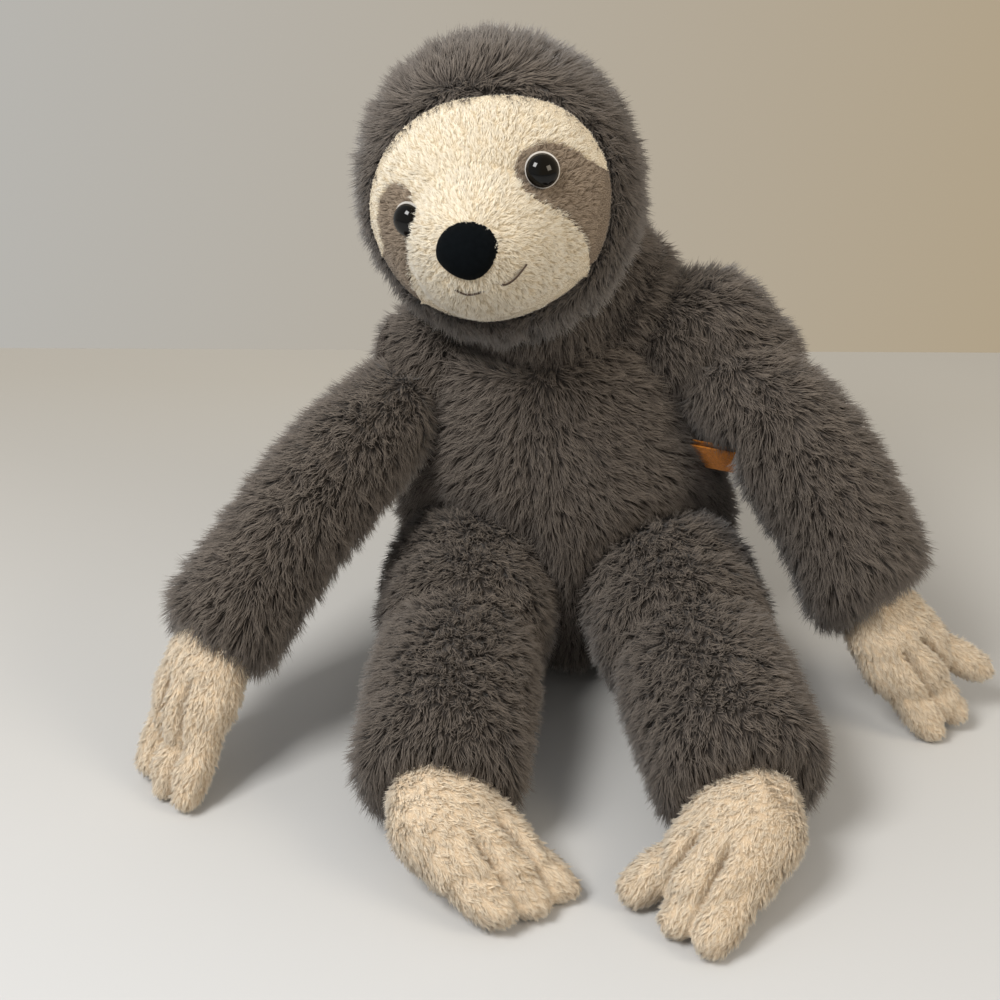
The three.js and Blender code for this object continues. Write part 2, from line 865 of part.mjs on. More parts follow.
// The folded strip, or with a filled fold and an extra all round the room that it takes
function labelGeometry(inner, extra) {
  const half = labelFold / 2 + labelThick + extra;
  const inside = half - inner;
  const bend = labelLength - labelFold / 2 - labelThick;
  const shape = new THREE.Shape();
  shape.moveTo(-extra, -half);
  shape.lineTo(bend, -half);
  shape.absarc(bend, 0, half, -Math.PI / 2, Math.PI / 2);
  shape.lineTo(-extra, half);
  if (extra === 0) {
    shape.lineTo(0, inside);
    shape.lineTo(bend, inside);
    shape.absarc(bend, 0, inside, Math.PI / 2, -Math.PI / 2, true);
    shape.lineTo(0, -inside);
  }
  const geometry = new THREE.ExtrudeGeometry(shape, {
    depth: labelWidth + extra * 2,
    bevelEnabled: false,
    curveSegments: pawSides / 2
  });
  geometry.translate(0, 0, -labelWidth / 2 - extra);
  const turn = radians(labelTurn);
  const share = labelHeight / torsoHeight;
  geometry.rotateX(radians(labelTilt));
  geometry.rotateZ(-turn);
  geometry.translate(
    Math.cos(turn) * torsoHalfWidth * labelOutShare + torsoTopShiftX * share ** 2,
    -Math.sin(turn) * torsoHalfDepth * labelOutShare,
    labelHeight
  );
  return geometry;
}

function buildLabel() {
  const strip = toSolid(labelGeometry(labelThick, 0)).subtract(toSolid(torsoGeometry(-gap)));
  addNode("side_label", strip, colours.label);
}

buildTorso();
buildLabel();
buildNeckSeam();
buildHead();
for (const side of sides) {
  buildLimb("arm", side, armSpecs[side], armSizes);
  buildPaw("hand", side, armSpecs[side], handSpecs[side], fingerShares[side], handSizes);
  buildLimb("leg", side, legSpecs[side], legSizes);
  buildPaw("foot", side, legSpecs[side], footSpecs[side], toeShares[side], footSizes);
}

export default part;
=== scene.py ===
import json
import math
import bpy
import bmesh
import numpy as np
from mathutils import Matrix, Vector


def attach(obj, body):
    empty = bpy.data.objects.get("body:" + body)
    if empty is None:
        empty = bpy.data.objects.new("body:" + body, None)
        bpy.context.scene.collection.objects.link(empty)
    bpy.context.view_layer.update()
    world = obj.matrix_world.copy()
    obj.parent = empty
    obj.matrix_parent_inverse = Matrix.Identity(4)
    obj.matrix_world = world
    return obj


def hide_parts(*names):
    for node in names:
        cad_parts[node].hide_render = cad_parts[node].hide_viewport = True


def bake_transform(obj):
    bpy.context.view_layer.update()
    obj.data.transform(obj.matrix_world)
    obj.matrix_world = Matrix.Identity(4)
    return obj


# Plush sloth: long fur on the torso, limbs and hood, short pile on the face, hands and feet.
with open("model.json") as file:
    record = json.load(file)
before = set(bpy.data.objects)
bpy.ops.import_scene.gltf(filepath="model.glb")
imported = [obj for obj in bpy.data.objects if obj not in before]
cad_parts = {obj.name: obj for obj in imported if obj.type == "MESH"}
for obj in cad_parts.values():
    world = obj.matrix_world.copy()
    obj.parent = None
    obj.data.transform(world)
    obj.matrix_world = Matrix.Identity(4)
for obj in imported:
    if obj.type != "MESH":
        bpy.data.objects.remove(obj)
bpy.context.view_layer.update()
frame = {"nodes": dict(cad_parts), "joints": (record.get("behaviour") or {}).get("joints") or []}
mm = 0.001
scene = bpy.context.scene


def say(stage):
    print("stage:", stage, flush=True)


def colour(red, green, blue):
    def linear(value):
        value /= 255
        return value / 12.92 if value <= 0.04045 else ((value + 0.055) / 1.055) ** 2.4
    return (linear(red), linear(green), linear(blue), 1)


# Camera, at the photograph's viewing angle

view = {"azimuth": 5, "elevation": 28, "distance": 0.7, "target": (-0.03, -0.025, 0.088), "lens": 54}


def placeCamera():
    turn, rise = math.radians(view["azimuth"]), math.radians(view["elevation"])
    back = Vector((math.sin(turn) * math.cos(rise), -math.cos(turn) * math.cos(rise), math.sin(rise)))
    lens = bpy.data.cameras.new("camera")
    lens.lens, lens.sensor_width = view["lens"], 36
    camera = bpy.data.objects.new("camera", lens)
    camera.location = Vector(view["target"]) + back * view["distance"]
    camera.rotation_euler = (-back).to_track_quat("-Z", "Y").to_euler()
    scene.collection.objects.link(camera)
    scene.camera = camera


# Materials

# Root colours are painted shade deep in the pile, tip colours painted light on its top
furLook = {
    "root": colour(42, 37, 33), "middle": colour(88, 80, 73), "tip": colour(134, 124, 114),
    "rough": 0.85, "sheen": 0.25, "spread": 0.32
}
faceLook = {
    "root": colour(184, 164, 132), "middle": colour(233, 220, 195), "tip": colour(250, 244, 230),
    "rough": 0.8, "sheen": 0.2, "spread": 0.18
}
patchLook = {
    "root": colour(92, 78, 64), "middle": colour(142, 126, 108), "tip": colour(174, 158, 139),
    "rough": 0.8, "sheen": 0.2, "spread": 0.24
}
pawLook = {
    "root": colour(192, 167, 136), "middle": colour(225, 206, 179), "tip": colour(246, 235, 216),
    "rough": 0.75, "sheen": 0.25, "spread": 0.22
}


def newMaterial(name, rough):
    material = bpy.data.materials.new(name)
    material.use_nodes = True
    shader = material.node_tree.nodes["Principled BSDF"]
    shader.inputs["Roughness"].default_value = rough
    return material, material.node_tree, shader


def twoColours(tree, dark, light):
    ramp = tree.nodes.new("ShaderNodeValToRGB")
    ramp.color_ramp.elements[0].color, ramp.color_ramp.elements[1].color = dark, light
    return ramp


def addRelief(tree, shader, height, strength, depth):
    bump = tree.nodes.new("ShaderNodeBump")
    bump.inputs["Strength"].default_value, bump.inputs["Distance"].default_value = strength, depth
    tree.links.new(height, bump.inputs["Height"])
    tree.links.new(bump.outputs["Normal"], shader.inputs["Normal"])


def pileMaterial(name, look):
    # Dark at the roots as painted shade deep in the pile, pale at the tips as painted light on its top, and
    # each lock its own tone
    material, tree, shader = newMaterial(name, look["rough"])
    shader.inputs["Sheen Weight"].default_value = look["sheen"]
    shader.inputs["Sheen Roughness"].default_value = 0.5
    shader.inputs["Specular IOR Level"].default_value = 0.25
    along = tree.nodes.new("ShaderNodeAttribute")
    along.attribute_name = "along"
    tone = tree.nodes.new("ShaderNodeAttribute")
    tone.attribute_name = "tone"
    ramp = twoColours(tree, look["root"], look["tip"])
    ramp.color_ramp.elements.new(0.45).color = look["middle"]
    shade = tree.nodes.new("ShaderNodeMapRange")
    shade.inputs["To Min"].default_value = 1 - look["spread"]
    shade.inputs["To Max"].default_value = 1 + look["spread"]
    mix = tree.nodes.new("ShaderNodeVectorMath")
    mix.operation = "SCALE"
    tree.links.new(along.outputs["Fac"], ramp.inputs["Fac"])
    tree.links.new(tone.outputs["Fac"], shade.inputs["Value"])
    tree.links.new(ramp.outputs["Color"], mix.inputs[0])
    tree.links.new(shade.outputs["Result"], mix.inputs["Scale"])
    tree.links.new(mix.outputs["Vector"], shader.inputs["Base Color"])
    grain = tree.nodes.new("ShaderNodeTexNoise")
    grain.inputs["Scale"].default_value = 2200
    place = tree.nodes.new("ShaderNodeTexCoord")
    tree.links.new(place.outputs["Object"], grain.inputs["Vector"])
    addRelief(tree, shader, grain.outputs["Fac"], 0.25, 0.0002)
    return material


def clothMaterial(name, dark, light, scale, depth, rough, sheen=0, shine=0.3):
    # A close weave: two crossed waves in the piece's own space, mottled by a slow noise
    material, tree, shader = newMaterial(name, rough)
    shader.inputs["Sheen Weight"].default_value = sheen
    shader.inputs["Specular IOR Level"].default_value = shine
    place = tree.nodes.new("ShaderNodeTexCoord")
    across = tree.nodes.new("ShaderNodeTexWave")
    down = tree.nodes.new("ShaderNodeTexWave")
    across.bands_direction, down.bands_direction = "X", "Z"
    both = tree.nodes.new("ShaderNodeMath")
    both.operation = "MULTIPLY"
    mottle = tree.nodes.new("ShaderNodeTexNoise")
    mottle.inputs["Scale"].default_value = scale / 6
    blend = tree.nodes.new("ShaderNodeMath")
    blend.operation = "ADD"
    ramp = twoColours(tree, dark, light)
    ramp.color_ramp.elements[0].position = 0.35
    for wave in (across, down):
        wave.inputs["Scale"].default_value = scale
        wave.inputs["Distortion"].default_value = 1.5
        tree.links.new(place.outputs["Object"], wave.inputs["Vector"])
    tree.links.new(place.outputs["Object"], mottle.inputs["Vector"])
    tree.links.new(across.outputs["Fac"], both.inputs[0])
    tree.links.new(down.outputs["Fac"], both.inputs[1])
    tree.links.new(both.outputs["Value"], blend.inputs[0])
    tree.links.new(mottle.outputs["Fac"], blend.inputs[1])
    tree.links.new(blend.outputs["Value"], ramp.inputs["Fac"])
    tree.links.new(ramp.outputs["Color"], shader.inputs["Base Color"])
    addRelief(tree, shader, both.outputs["Value"], 0.6, depth)
    return material


def smoothMaterial(name, base, worn, rough, shine=0.5):
    # Moulded plastic: faint handling marks in colour and relief
    material, tree, shader = newMaterial(name, rough)
    shader.inputs["Specular IOR Level"].default_value = shine
    place = tree.nodes.new("ShaderNodeTexCoord")
    marks = tree.nodes.new("ShaderNodeTexNoise")
    marks.inputs["Scale"].default_value = 900
    ramp = twoColours(tree, base, worn)
    tree.links.new(place.outputs["Object"], marks.inputs["Vector"])
    tree.links.new(marks.outputs["Fac"], ramp.inputs["Fac"])
    tree.links.new(ramp.outputs["Color"], shader.inputs["Base Color"])
    addRelief(tree, shader, marks.outputs["Fac"], 0.05, 0.0001)
    return material


furCloth = pileMaterial("greyBrownFur", furLook)
faceCloth = pileMaterial("creamPile", faceLook)
patchCloth = pileMaterial("taupePile", patchLook)
pawCloth = pileMaterial("beigePile", pawLook)
wadding = clothMaterial("wadding", colour(214, 210, 203), colour(240, 238, 233), 700, 0.0006, 0.9, 0.3)
beanCloth = clothMaterial("beanCloth", colour(190, 186, 178), colour(222, 218, 210), 1500, 0.0002, 0.8)
noseCloth = clothMaterial("blackNoseCloth", colour(0, 3, 6), colour(7, 12, 16), 2600, 0.00012, 0.85, shine=0.08)
seamThread = clothMaterial("seamThread", colour(40, 34, 30), colour(70, 61, 55), 2400, 0.0002, 0.8)
mouthThread = clothMaterial("mouthThread", colour(52, 40, 32), colour(84, 68, 55), 3000, 0.0001, 0.7)
labelCloth = clothMaterial("labelWeave", colour(160, 88, 10), colour(218, 136, 30), 3400, 0.0001, 0.55, 0.2)
eyeGloss = smoothMaterial("blackEye", colour(3, 3, 3), colour(6, 5, 5), 0.06, shine=0.3)
ringPlastic = smoothMaterial("whiteRing", colour(188, 183, 176), colour(208, 203, 196), 0.4)
washerPlastic = smoothMaterial("washerPlastic", colour(196, 193, 187), colour(216, 213, 208), 0.45)


def dress(node, material):
    slots = frame["nodes"][node].data.materials
    slots.clear()
    slots.append(material)


# Meshes

def finished(name, mesh, material):
    piece = bpy.data.objects.new(name, mesh)
    scene.collection.objects.link(piece)
    if material is not None:
        mesh.materials.clear()
        mesh.materials.append(material)
    return piece


def applied(piece):
    shape = bpy.context.evaluated_depsgraph_get()
    mesh = bpy.data.meshes.new_from_object(piece.evaluated_get(shape))
    piece.modifiers.clear()
    old, piece.data = piece.data, mesh
    bpy.data.meshes.remove(old)
    return piece


def fromWork(name, work, material):
    mesh = bpy.data.meshes.new(name)
    work.to_mesh(mesh)
    work.free()
    return finished(name, mesh, material)


def stuffedForm(name, work, voxel, rounds, grow):
    # One soft closed form out of overlapping solids, its creases eased
    piece = fromWork(name, work, None)
    remesh = piece.modifiers.new("remesh", "REMESH")
    remesh.mode, remesh.voxel_size = "VOXEL", voxel
    remesh.use_smooth_shade = True
    ease = piece.modifiers.new("ease", "SMOOTH")
    ease.factor, ease.iterations = 0.5, rounds
    swell = piece.modifiers.new("swell", "DISPLACE")
    swell.strength, swell.mid_level = grow, 0
    return applied(piece)


def moveTo(mesh, place):
    mesh.vertices.foreach_set("co", place.astype(np.float32).ravel())
    mesh.update()


def cadCopy(*nodes):
    work = bmesh.new()
    for node in nodes:
        work.from_mesh(frame["nodes"][node].data)
    bmesh.ops.remove_doubles(work, verts=work.verts, dist=1e-6)
    return work


def strandMesh(sides):
    # A closed pointed strand one unit long, which knows how far up it each point is
    work = bmesh.new()
    bmesh.ops.create_cone(work, cap_ends=True, segments=sides, radius1=1, radius2=0, depth=1)
    bmesh.ops.remove_doubles(work, verts=work.verts, dist=1e-5)
    bmesh.ops.translate(work, verts=work.verts, vec=(0, 0, 0.5))
    bmesh.ops.triangulate(work, faces=work.faces)
    bmesh.ops.recalc_face_normals(work, faces=work.faces)
    single = fromWork("strand", work, None)
    along = single.data.attributes.new("along", "FLOAT", "POINT")
    along.data.foreach_set("value", [vert.co.z for vert in single.data.vertices])
    return single


strand = strandMesh(3)


def readRows(rows, key, count, wide=3):
    values = np.empty(count * wide, np.float32)
    rows.foreach_get(key, values)
    return values.reshape(-1, 3) if wide == 3 else values


def points(mesh):
    return readRows(mesh.vertices, "co", len(mesh.vertices))


def vertexNormals(mesh):
    return readRows(mesh.vertices, "normal", len(mesh.vertices))


def unit(rows):
    return rows / np.maximum(np.linalg.norm(rows, axis=1, keepdims=True), 1e-9)


def store(mesh, name, kind, values):
    layer = mesh.attributes.get(name) or mesh.attributes.new(name, kind, "POINT")
    key = "vector" if kind == "FLOAT_VECTOR" else "value"
    layer.data.foreach_set(key, np.asarray(values, np.float32).ravel())


strandRange = {"long": (0.72, 1.12), "wide": (0.75, 1.25)}  # shares of the pile's own length and width


def pileTree(look):
    tree = bpy.data.node_groups.new("pile", "GeometryNodeTree")
    for way in ("INPUT", "OUTPUT"):
        tree.interface.new_socket("Geometry", in_out=way, socket_type="NodeSocketGeometry")
    add, link = tree.nodes.new, tree.links.new
    start, end = add("NodeGroupInput"), add("NodeGroupOutput")

    def named(name, kind):
        node = add("GeometryNodeInputNamedAttribute")
        node.data_type = kind
        node.inputs["Name"].default_value = name
        return node.outputs["Attribute"]

    def vector(operation, first, second=None, scale=None):
        node = add("ShaderNodeVectorMath")
        node.operation = operation
        link(first, node.inputs[0])
        if second is not None:
            link(second, node.inputs[1])
        if scale is not None:
            node.inputs["Scale"].default_value = scale
        return node.outputs["Vector"]

    def centred(texture):
        node = add("ShaderNodeVectorMath")
        node.operation = "SUBTRACT"
        node.inputs[1].default_value = (0.5, 0.5, 0.5)
        link(texture.outputs["Color"], node.inputs[0])
        return node.outputs["Vector"]

    def chance(low, high, seed):
        node = add("FunctionNodeRandomValue")
        node.data_type = "FLOAT"
        node.inputs["Min"].default_value, node.inputs["Max"].default_value = low, high
        node.inputs["Seed"].default_value = seed
        return node.outputs["Value"]

    def stray(amount, seed):
        node = add("FunctionNodeRandomValue")
        node.data_type = "FLOAT_VECTOR"
        node.inputs["Min"].default_value = (-amount, -amount, -amount)
        node.inputs["Max"].default_value = (amount, amount, amount)
        node.inputs["Seed"].default_value = seed
        return node.outputs["Value"]

    scatter = add("GeometryNodeDistributePointsOnFaces")
    density = add("ShaderNodeMath")
    density.operation = "MULTIPLY"
    density.inputs[1].default_value = look["density"] * 1e6
    link(named("thick", "FLOAT"), density.inputs[0])
    link(density.outputs["Value"], scatter.inputs["Density"])
    scatter.inputs["Seed"].default_value = look["seed"]
    link(start.outputs["Geometry"], scatter.inputs["Mesh"])

    where = add("GeometryNodeInputPosition").outputs["Position"]
    cells = add("ShaderNodeTexVoronoi")
    cells.inputs["Scale"].default_value = 1 / (look["lock"] * mm)
    link(where, cells.inputs["Vector"])
    inwards = vector("SUBTRACT", cells.outputs["Position"], where)
    waves = add("ShaderNodeTexNoise")
    waves.inputs["Scale"].default_value = 1 / (look["wave"] * mm)
    link(where, waves.inputs["Vector"])
    lean = vector("ADD", named("lie", "FLOAT_VECTOR"), vector("SCALE", centred(waves), scale=look["waveTurn"]))
    lean = vector("ADD", lean, vector("SCALE", inwards, scale=look["gather"] / (look["long"] * mm)))
    lean = vector("ADD", lean, vector("SCALE", centred(cells), scale=look["lockTurn"]))
    lean = vector("ADD", lean, stray(look["stray"], look["seed"] + 1))
    lean = vector("NORMALIZE", lean)

    upright = add("FunctionNodeAlignRotationToVector")
    upright.axis = "Z"
    link(lean, upright.inputs["Vector"])
    rolled = add("FunctionNodeAlignRotationToVector")
    rolled.axis, rolled.pivot_axis = "X", "Z"
    link(upright.outputs["Rotation"], rolled.inputs["Rotation"])
    roll = vector("ADD", named("comb", "FLOAT_VECTOR"), stray(look["twist"], look["seed"] + 2))
    link(roll, rolled.inputs["Vector"])

    long = add("ShaderNodeMath")
    long.operation = "MULTIPLY"
    link(named("long", "FLOAT"), long.inputs[0])
    shortest, longest = (share * look["long"] * mm for share in strandRange["long"])
    link(chance(shortest, longest, look["seed"] + 3), long.inputs[1])
    size = add("ShaderNodeCombineXYZ")
    thinnest, thickest = (share * look["wide"] * mm / 2 for share in strandRange["wide"])
    wide = chance(thinnest, thickest, look["seed"] + 4)
    link(wide, size.inputs["X"])
    link(wide, size.inputs["Y"])
    link(long.outputs["Value"], size.inputs["Z"])

    toneOf = add("ShaderNodeMath")
    toneOf.operation = "MULTIPLY_ADD"
    toneOf.inputs[1].default_value = 0.35
    parted = add("FunctionNodeSeparateColor")
    link(cells.outputs["Color"], parted.inputs["Color"])
    link(parted.outputs["Red"], toneOf.inputs[0])
    slow = add("ShaderNodeMath")
    slow.operation = "MULTIPLY_ADD"
    slow.inputs[1].default_value = 0.35
    link(waves.outputs["Fac"], slow.inputs[0])
    link(chance(0, 0.3, look["seed"] + 5), slow.inputs[2])
    link(slow.outputs["Value"], toneOf.inputs[2])
    keep = add("GeometryNodeStoreNamedAttribute")
    keep.data_type, keep.domain = "FLOAT", "POINT"
    keep.inputs["Name"].default_value = "tone"
    link(toneOf.outputs["Value"], keep.inputs["Value"])
    link(scatter.outputs["Points"], keep.inputs["Geometry"])

    lock = add("GeometryNodeObjectInfo")
    lock.inputs["Object"].default_value = strand
    plant = add("GeometryNodeInstanceOnPoints")
    link(keep.outputs["Geometry"], plant.inputs["Points"])
    link(lock.outputs["Geometry"], plant.inputs["Instance"])
    link(rolled.outputs["Rotation"], plant.inputs["Rotation"])
    link(size.outputs["Vector"], plant.inputs["Scale"])
    whole = add("GeometryNodeRealizeInstances")
    link(plant.outputs["Instances"], whole.inputs["Geometry"])
    join = add("GeometryNodeJoinGeometry")
    link(start.outputs["Geometry"], join.inputs["Geometry"])
    link(whole.outputs["Geometry"], join.inputs["Geometry"])
    link(join.outputs["Geometry"], end.inputs["Geometry"])
    return tree


def growPile(piece, look, combAt, thickAt, longAt, material):
    mesh = piece.data
    place, way = points(mesh), vertexNormals(mesh)
    comb = combAt(place)
    comb = unit(comb - way * np.sum(comb * way, axis=1, keepdims=True))
    store(mesh, "comb", "FLOAT_VECTOR", comb)
    store(mesh, "lie", "FLOAT_VECTOR", way * look["rise"] + comb * look["lay"])
    store(mesh, "skin", "FLOAT_VECTOR", way)
    store(mesh, "thick", "FLOAT", thickAt(place, way))
    store(mesh, "long", "FLOAT", longAt(place, way))
    # The cloth under the pile takes a low, dark step of the colour ramp: painted shade under the pile
    store(mesh, "along", "FLOAT", np.full(len(place), look["under"]))
    store(mesh, "tone", "FLOAT", np.full(len(place), 0.4))
    pile = piece.modifiers.new("pile", "NODES")
    pile.node_group = pileTree(look)
    applied(piece)
    mesh = piece.data
    mesh.materials.clear()
    mesh.materials.append(material)
    mesh.polygons.foreach_set("material_index", np.zeros(len(mesh.polygons), np.int32))
    mesh.polygons.foreach_set("use_smooth", np.ones(len(mesh.polygons), bool))
    softenShading(mesh, look["soft"])
    bakeMap(mesh)
    for spare in ("comb", "lie", "thick", "long", "skin"):
        mesh.attributes.remove(mesh.attributes[spare])
    keepOffFloor(mesh)
    print("  ", piece.name, len(mesh.polygons), "faces")


def softenShading(mesh, share):
    # The pile's shading is at least half that of the cloth under it
    skin, own = readRows(mesh.attributes["skin"].data, "vector", len(mesh.vertices)), vertexNormals(mesh)
    mixed = unit(skin * share + own * (1 - share))
    mesh.normals_split_custom_set_from_vertices(mixed.tolist())


def shortNearFloor(place, least=0.35, rise=0.03):
    return np.clip(least + place[:, 2] / rise, least, 1)


def keepOffFloor(mesh):
    place = points(mesh)
    place[:, 2] = np.maximum(place[:, 2], 0.0001)
    moveTo(mesh, place)


def bakeMap(mesh):
    # Colour depends on the lock's tone and the height up it alone, so these are the map
    count = len(mesh.vertices)
    tone, along = (readRows(mesh.attributes[name].data, "value", count, 1) for name in ("tone", "along"))
    corners = np.empty(len(mesh.loops), np.int32)
    mesh.loops.foreach_get("vertex_index", corners)
    layer = mesh.uv_layers.new(name="OFBake")
    spots = np.stack([tone[corners] * 0.96 + 0.02, along[corners] * 0.96 + 0.02], 1)
    layer.data.foreach_set("uv", spots.astype(np.float32).ravel())


# Where things are, as the part's source has them

places = {joint["name"]: Vector(joint["pos_m"]) for joint in frame["joints"]}
neck = places["neck_nod"]
headPlace = (
    Matrix.Translation(neck + Vector((-18, -12, 69)) * mm)
    @ Matrix.Rotation(math.radians(-8), 4, "Z")
    @ Matrix.Rotation(math.radians(-13), 4, "X")
    @ Matrix.Rotation(math.radians(-17), 4, "Y")
)
headWay = np.array(headPlace.to_3x3())
headAt = np.array(headPlace.translation)


def inHead(place):
    return (place - headAt) @ headWay


# Torso fur

torso = {
    "voxel": 3.2, "ease": 8, "grow": 0.4, "armClear": 0.029, "legClear": 0.035, "legFade": 0.016,
    "hipReach": 0.056, "hipFade": 0.02, "hipDrawn": 6, "seamX": -0.013, "partWidth": 0.05, "partFrom": 0.07,
    "backFrom": 0.005, "creaseDepth": 0.45, "creaseWidth": 0.003, "labelClear": 0.02, "seatPile": 0.25
}
furPile = {
    "density": 1.32, "long": 9.6, "wide": 0.62, "rise": 0.64, "lay": 0.7, "lock": 2.8, "gather": 0.7,
    "lockTurn": 0.55, "wave": 8, "waveTurn": 1.35, "stray": 0.2, "twist": 0.5, "soft": 0.5, "under": 0.22,
    "seed": 3
}


def rootsOf(joint):
    return np.array(places[joint])


def clearOf(place, centre, radius, fade=0.006):
    return np.clip((np.linalg.norm(place - centre, axis=1) - radius) / fade, 0, 1)


def buildTorso():
    say("torso")
    work = cadCopy("torso_filling")
    skin = stuffedForm("torsoFur", work, torso["voxel"] * mm, torso["ease"], torso["grow"] * mm)
    place, way = points(skin.data), vertexNormals(skin.data)
    hips = [np.linalg.norm(place - rootsOf(f"leg_spread_{side}"), axis=1) for side in ("left", "right")]
    drawn = np.clip((torso["hipReach"] - np.minimum(*hips)) / torso["hipFade"], 0, 1)[:, None]
    moveTo(skin.data, place - way * drawn * torso["hipDrawn"] * mm)

    def comb(place):
        # Parted at the front seam from the belly up, and hanging lower down
        aside = (place[:, 0] - torso["seamX"]) / torso["partWidth"]
        front = np.where(place[:, 1] < torso["backFrom"], 1.0, -0.2)
        flow = np.zeros_like(place)
        parted = np.clip((place[:, 2] - torso["partFrom"]) / 0.04, -0.3, 1)
        flow[:, 0] = np.clip(aside * 1.6, -0.9, 0.9) * front * parted
        flow[:, 2] = -0.75 - 0.25 * np.clip((0.13 - place[:, 2]) / 0.05, 0, 1)
        return flow

    def thick(place, way):
        covered = np.ones(len(place))
        for side in ("left", "right"):
            covered *= clearOf(place, rootsOf(f"arm_lift_{side}"), torso["armClear"])
            covered *= clearOf(place, rootsOf(f"leg_spread_{side}"), torso["legClear"])
        return covered * np.where(way[:, 2] < -0.8, torso["seatPile"], 1)

    def long(place, way):
        # Shorter at the front seam, near the floor, round the label and at the hips
        near = np.linalg.norm(place - points(frame["nodes"]["side_label"].data).mean(0), axis=1)
        sunk = torso["creaseDepth"] * np.exp(-((place[:, 0] - torso["seamX"]) / torso["creaseWidth"]) ** 2)
        crease = 1 - sunk * (place[:, 1] < 0) * (place[:, 2] > torso["partFrom"])
        hips = [rootsOf(f"leg_spread_{side}") for side in ("left", "right")]
        legs = [clearOf(place, hip, torso["legClear"], torso["legFade"]) for hip in hips]
        label = np.clip(near / torso["labelClear"], 0.4, 1)
        return crease * shortNearFloor(place) * label * np.clip(np.minimum(*legs), 0.35, 1)

    growPile(skin, furPile, comb, thick, long, furCloth)
    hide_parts("torso_cover", "torso_filling")
    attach(skin, "torso")


# Hood

hood = {
    "voxel": 3.2, "ease": 6, "grow": 0.4, "rim": 9, "centreUp": 0.008, "frontTo": 0.015,
    "fall": (0, 0.35, -0.45), "rimPile": 0.88, "rimFade": 14, "neckClear": 0.036,
    "opening": [
        (0, 38), (10, 37), (20, 35.5), (29, 32.5), (36.5, 28.5), (42.5, 23.5), (47.5, 16.5), (50.5, 9),
        (52.3, 1), (52.3, -8), (50, -18), (45.5, -29), (38.5, -38), (30, -44.5), (20, -49), (8, -51.5),
        (-4, -51.5), (-15, -49.5), (-25, -45.5), (-34.5, -39), (-42.5, -31), (-47, -20), (-49.5, -9),
        (-49.5, 0), (-47, 7.5), (-42, 16), (-36, 23), (-28, 29.5), (-20, 33.5), (-10, 37)
    ]
}
hoodPile = dict(furPile, seed=23, rise=0.55)


def pastOpening(local):
    # How far outside the face opening's edge a place is, in mm, seen along the face's line
    x, z = local[:, 0] / mm, local[:, 2] / mm
    outline = smoothEdge(hood["opening"], 2)
    nearX, nearZ = nearestOn(x, z, outline)
    away = np.hypot(x - nearX, z - nearZ)
    return np.where(insideOutline(x, z, outline) & (local[:, 1] < 0), -away, away)


def buildHood():
    say("hood")
    work = cadCopy("head_filling")
    skin = stuffedForm("hoodFur", work, hood["voxel"] * mm, hood["ease"], hood["grow"] * mm)

    def comb(place):
        local = inHead(place)
        radial = local.copy()
        radial[:, 2] += hood["centreUp"]
        radial[:, 1] = 0
        past = np.clip(pastOpening(local) / hood["rim"], 0, 2)[:, None]
        out = np.where(local[:, 1:2] < hood["frontTo"], np.clip(past - 0.75, -0.75, 0.7), 0.6)
        outward = unit(radial) * out + np.array(hood["fall"]) * np.clip(past, 0, 1)
        return outward @ headWay.T

    def thick(place, way):
        outside = np.clip(pastOpening(inHead(place)) + 0.5, 0, 1)
        return outside * clearOf(place, np.array(neck), hood["neckClear"])

    def long(place, way):
        local = inHead(place)
        edge = np.clip(pastOpening(local) / hood["rimFade"], 0, 1)
        return np.where(local[:, 1] < 0.01, hood["rimPile"] + 0.12 * edge, 1)

    growPile(skin, hoodPile, comb, thick, long, furCloth)
    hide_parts("head_cover", "head_filling")
    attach(skin, "head")


# Collar, the fur of the neck between the torso and the hood

collar = {
    "voxel": 3.2, "ease": 8, "balls": [((4, 2, 8), 36), ((20, 10, 22), 33), ((-14, 4, 16), 31)],
    "pileLong": 0.85, "headShare": 0.9, "seed": 33
}


def buildCollar():
    say("collar")
    work = bmesh.new()
    for shift, radius in collar["balls"]:
        ball = bmesh.ops.create_icosphere(work, subdivisions=4, radius=radius * mm)["verts"]
        bmesh.ops.translate(work, verts=ball, vec=neck + Vector(shift) * mm)
    skin = stuffedForm("collarFur", work, collar["voxel"] * mm, collar["ease"], 0)
    middle = np.array(neck)

    def comb(place):
        flow = (place - middle) * 0.3
        flow[:, 2] = -0.05
        return flow

    def thick(place, way):
        local = inHead(place) / mm / np.array(face["domeHalves"])
        return np.clip((np.linalg.norm(local, axis=1) - collar["headShare"]) / 0.05, 0, 1)

    def long(place, way):
        return np.full(len(place), collar["pileLong"])

    growPile(skin, dict(furPile, seed=collar["seed"]), comb, thick, long, furCloth)
    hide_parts("neck_seam")
    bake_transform(skin)


# Face

face = {
    "voxel": 1.1, "ease": 7, "inset": 1.5, "wall": 1.5, "domeHalves": (62, 62, 67), "back": 8,
    "combFrom": (0, -0.07, -0.016), "rimFade": 7, "noseAt": (-1.2, -74, -20), "noseReach": 10.5,
    "bulges": [((0, -42, -18), (32, 35, 33)), ((0, -36, 8), (22, 24, 24)), ((1, -34, -27), (31, 31, 26))],
    "leftPatch": [
        (20, 3), (20.5, 7.5), (23, 11), (28, 13), (33.5, 13), (38.5, 11), (43, 7), (48, 1), (54, -5), (66, -8),
        (66, -70), (16, -70), (24, -56), (33.5, -44.5), (37.3, -37), (38.4, -31), (37.6, -24), (34.6, -16.5),
        (29.7, -11), (24.8, -5.5), (22, -1)
    ],
    "rightPatch": [
        (-23, 3), (-23.3, 7.5), (-25.5, 10.8), (-30, 12.3), (-35, 10.7), (-39.5, 7), (-42.5, 1), (-43.5, -6),
        (-44, -12), (-56, -20), (-66, -60), (-16, -70), (-26, -55), (-36, -44), (-37.5, -32), (-36, -25),
        (-32.5, -18), (-29.5, -11), (-26, -3.5)
    ]
}
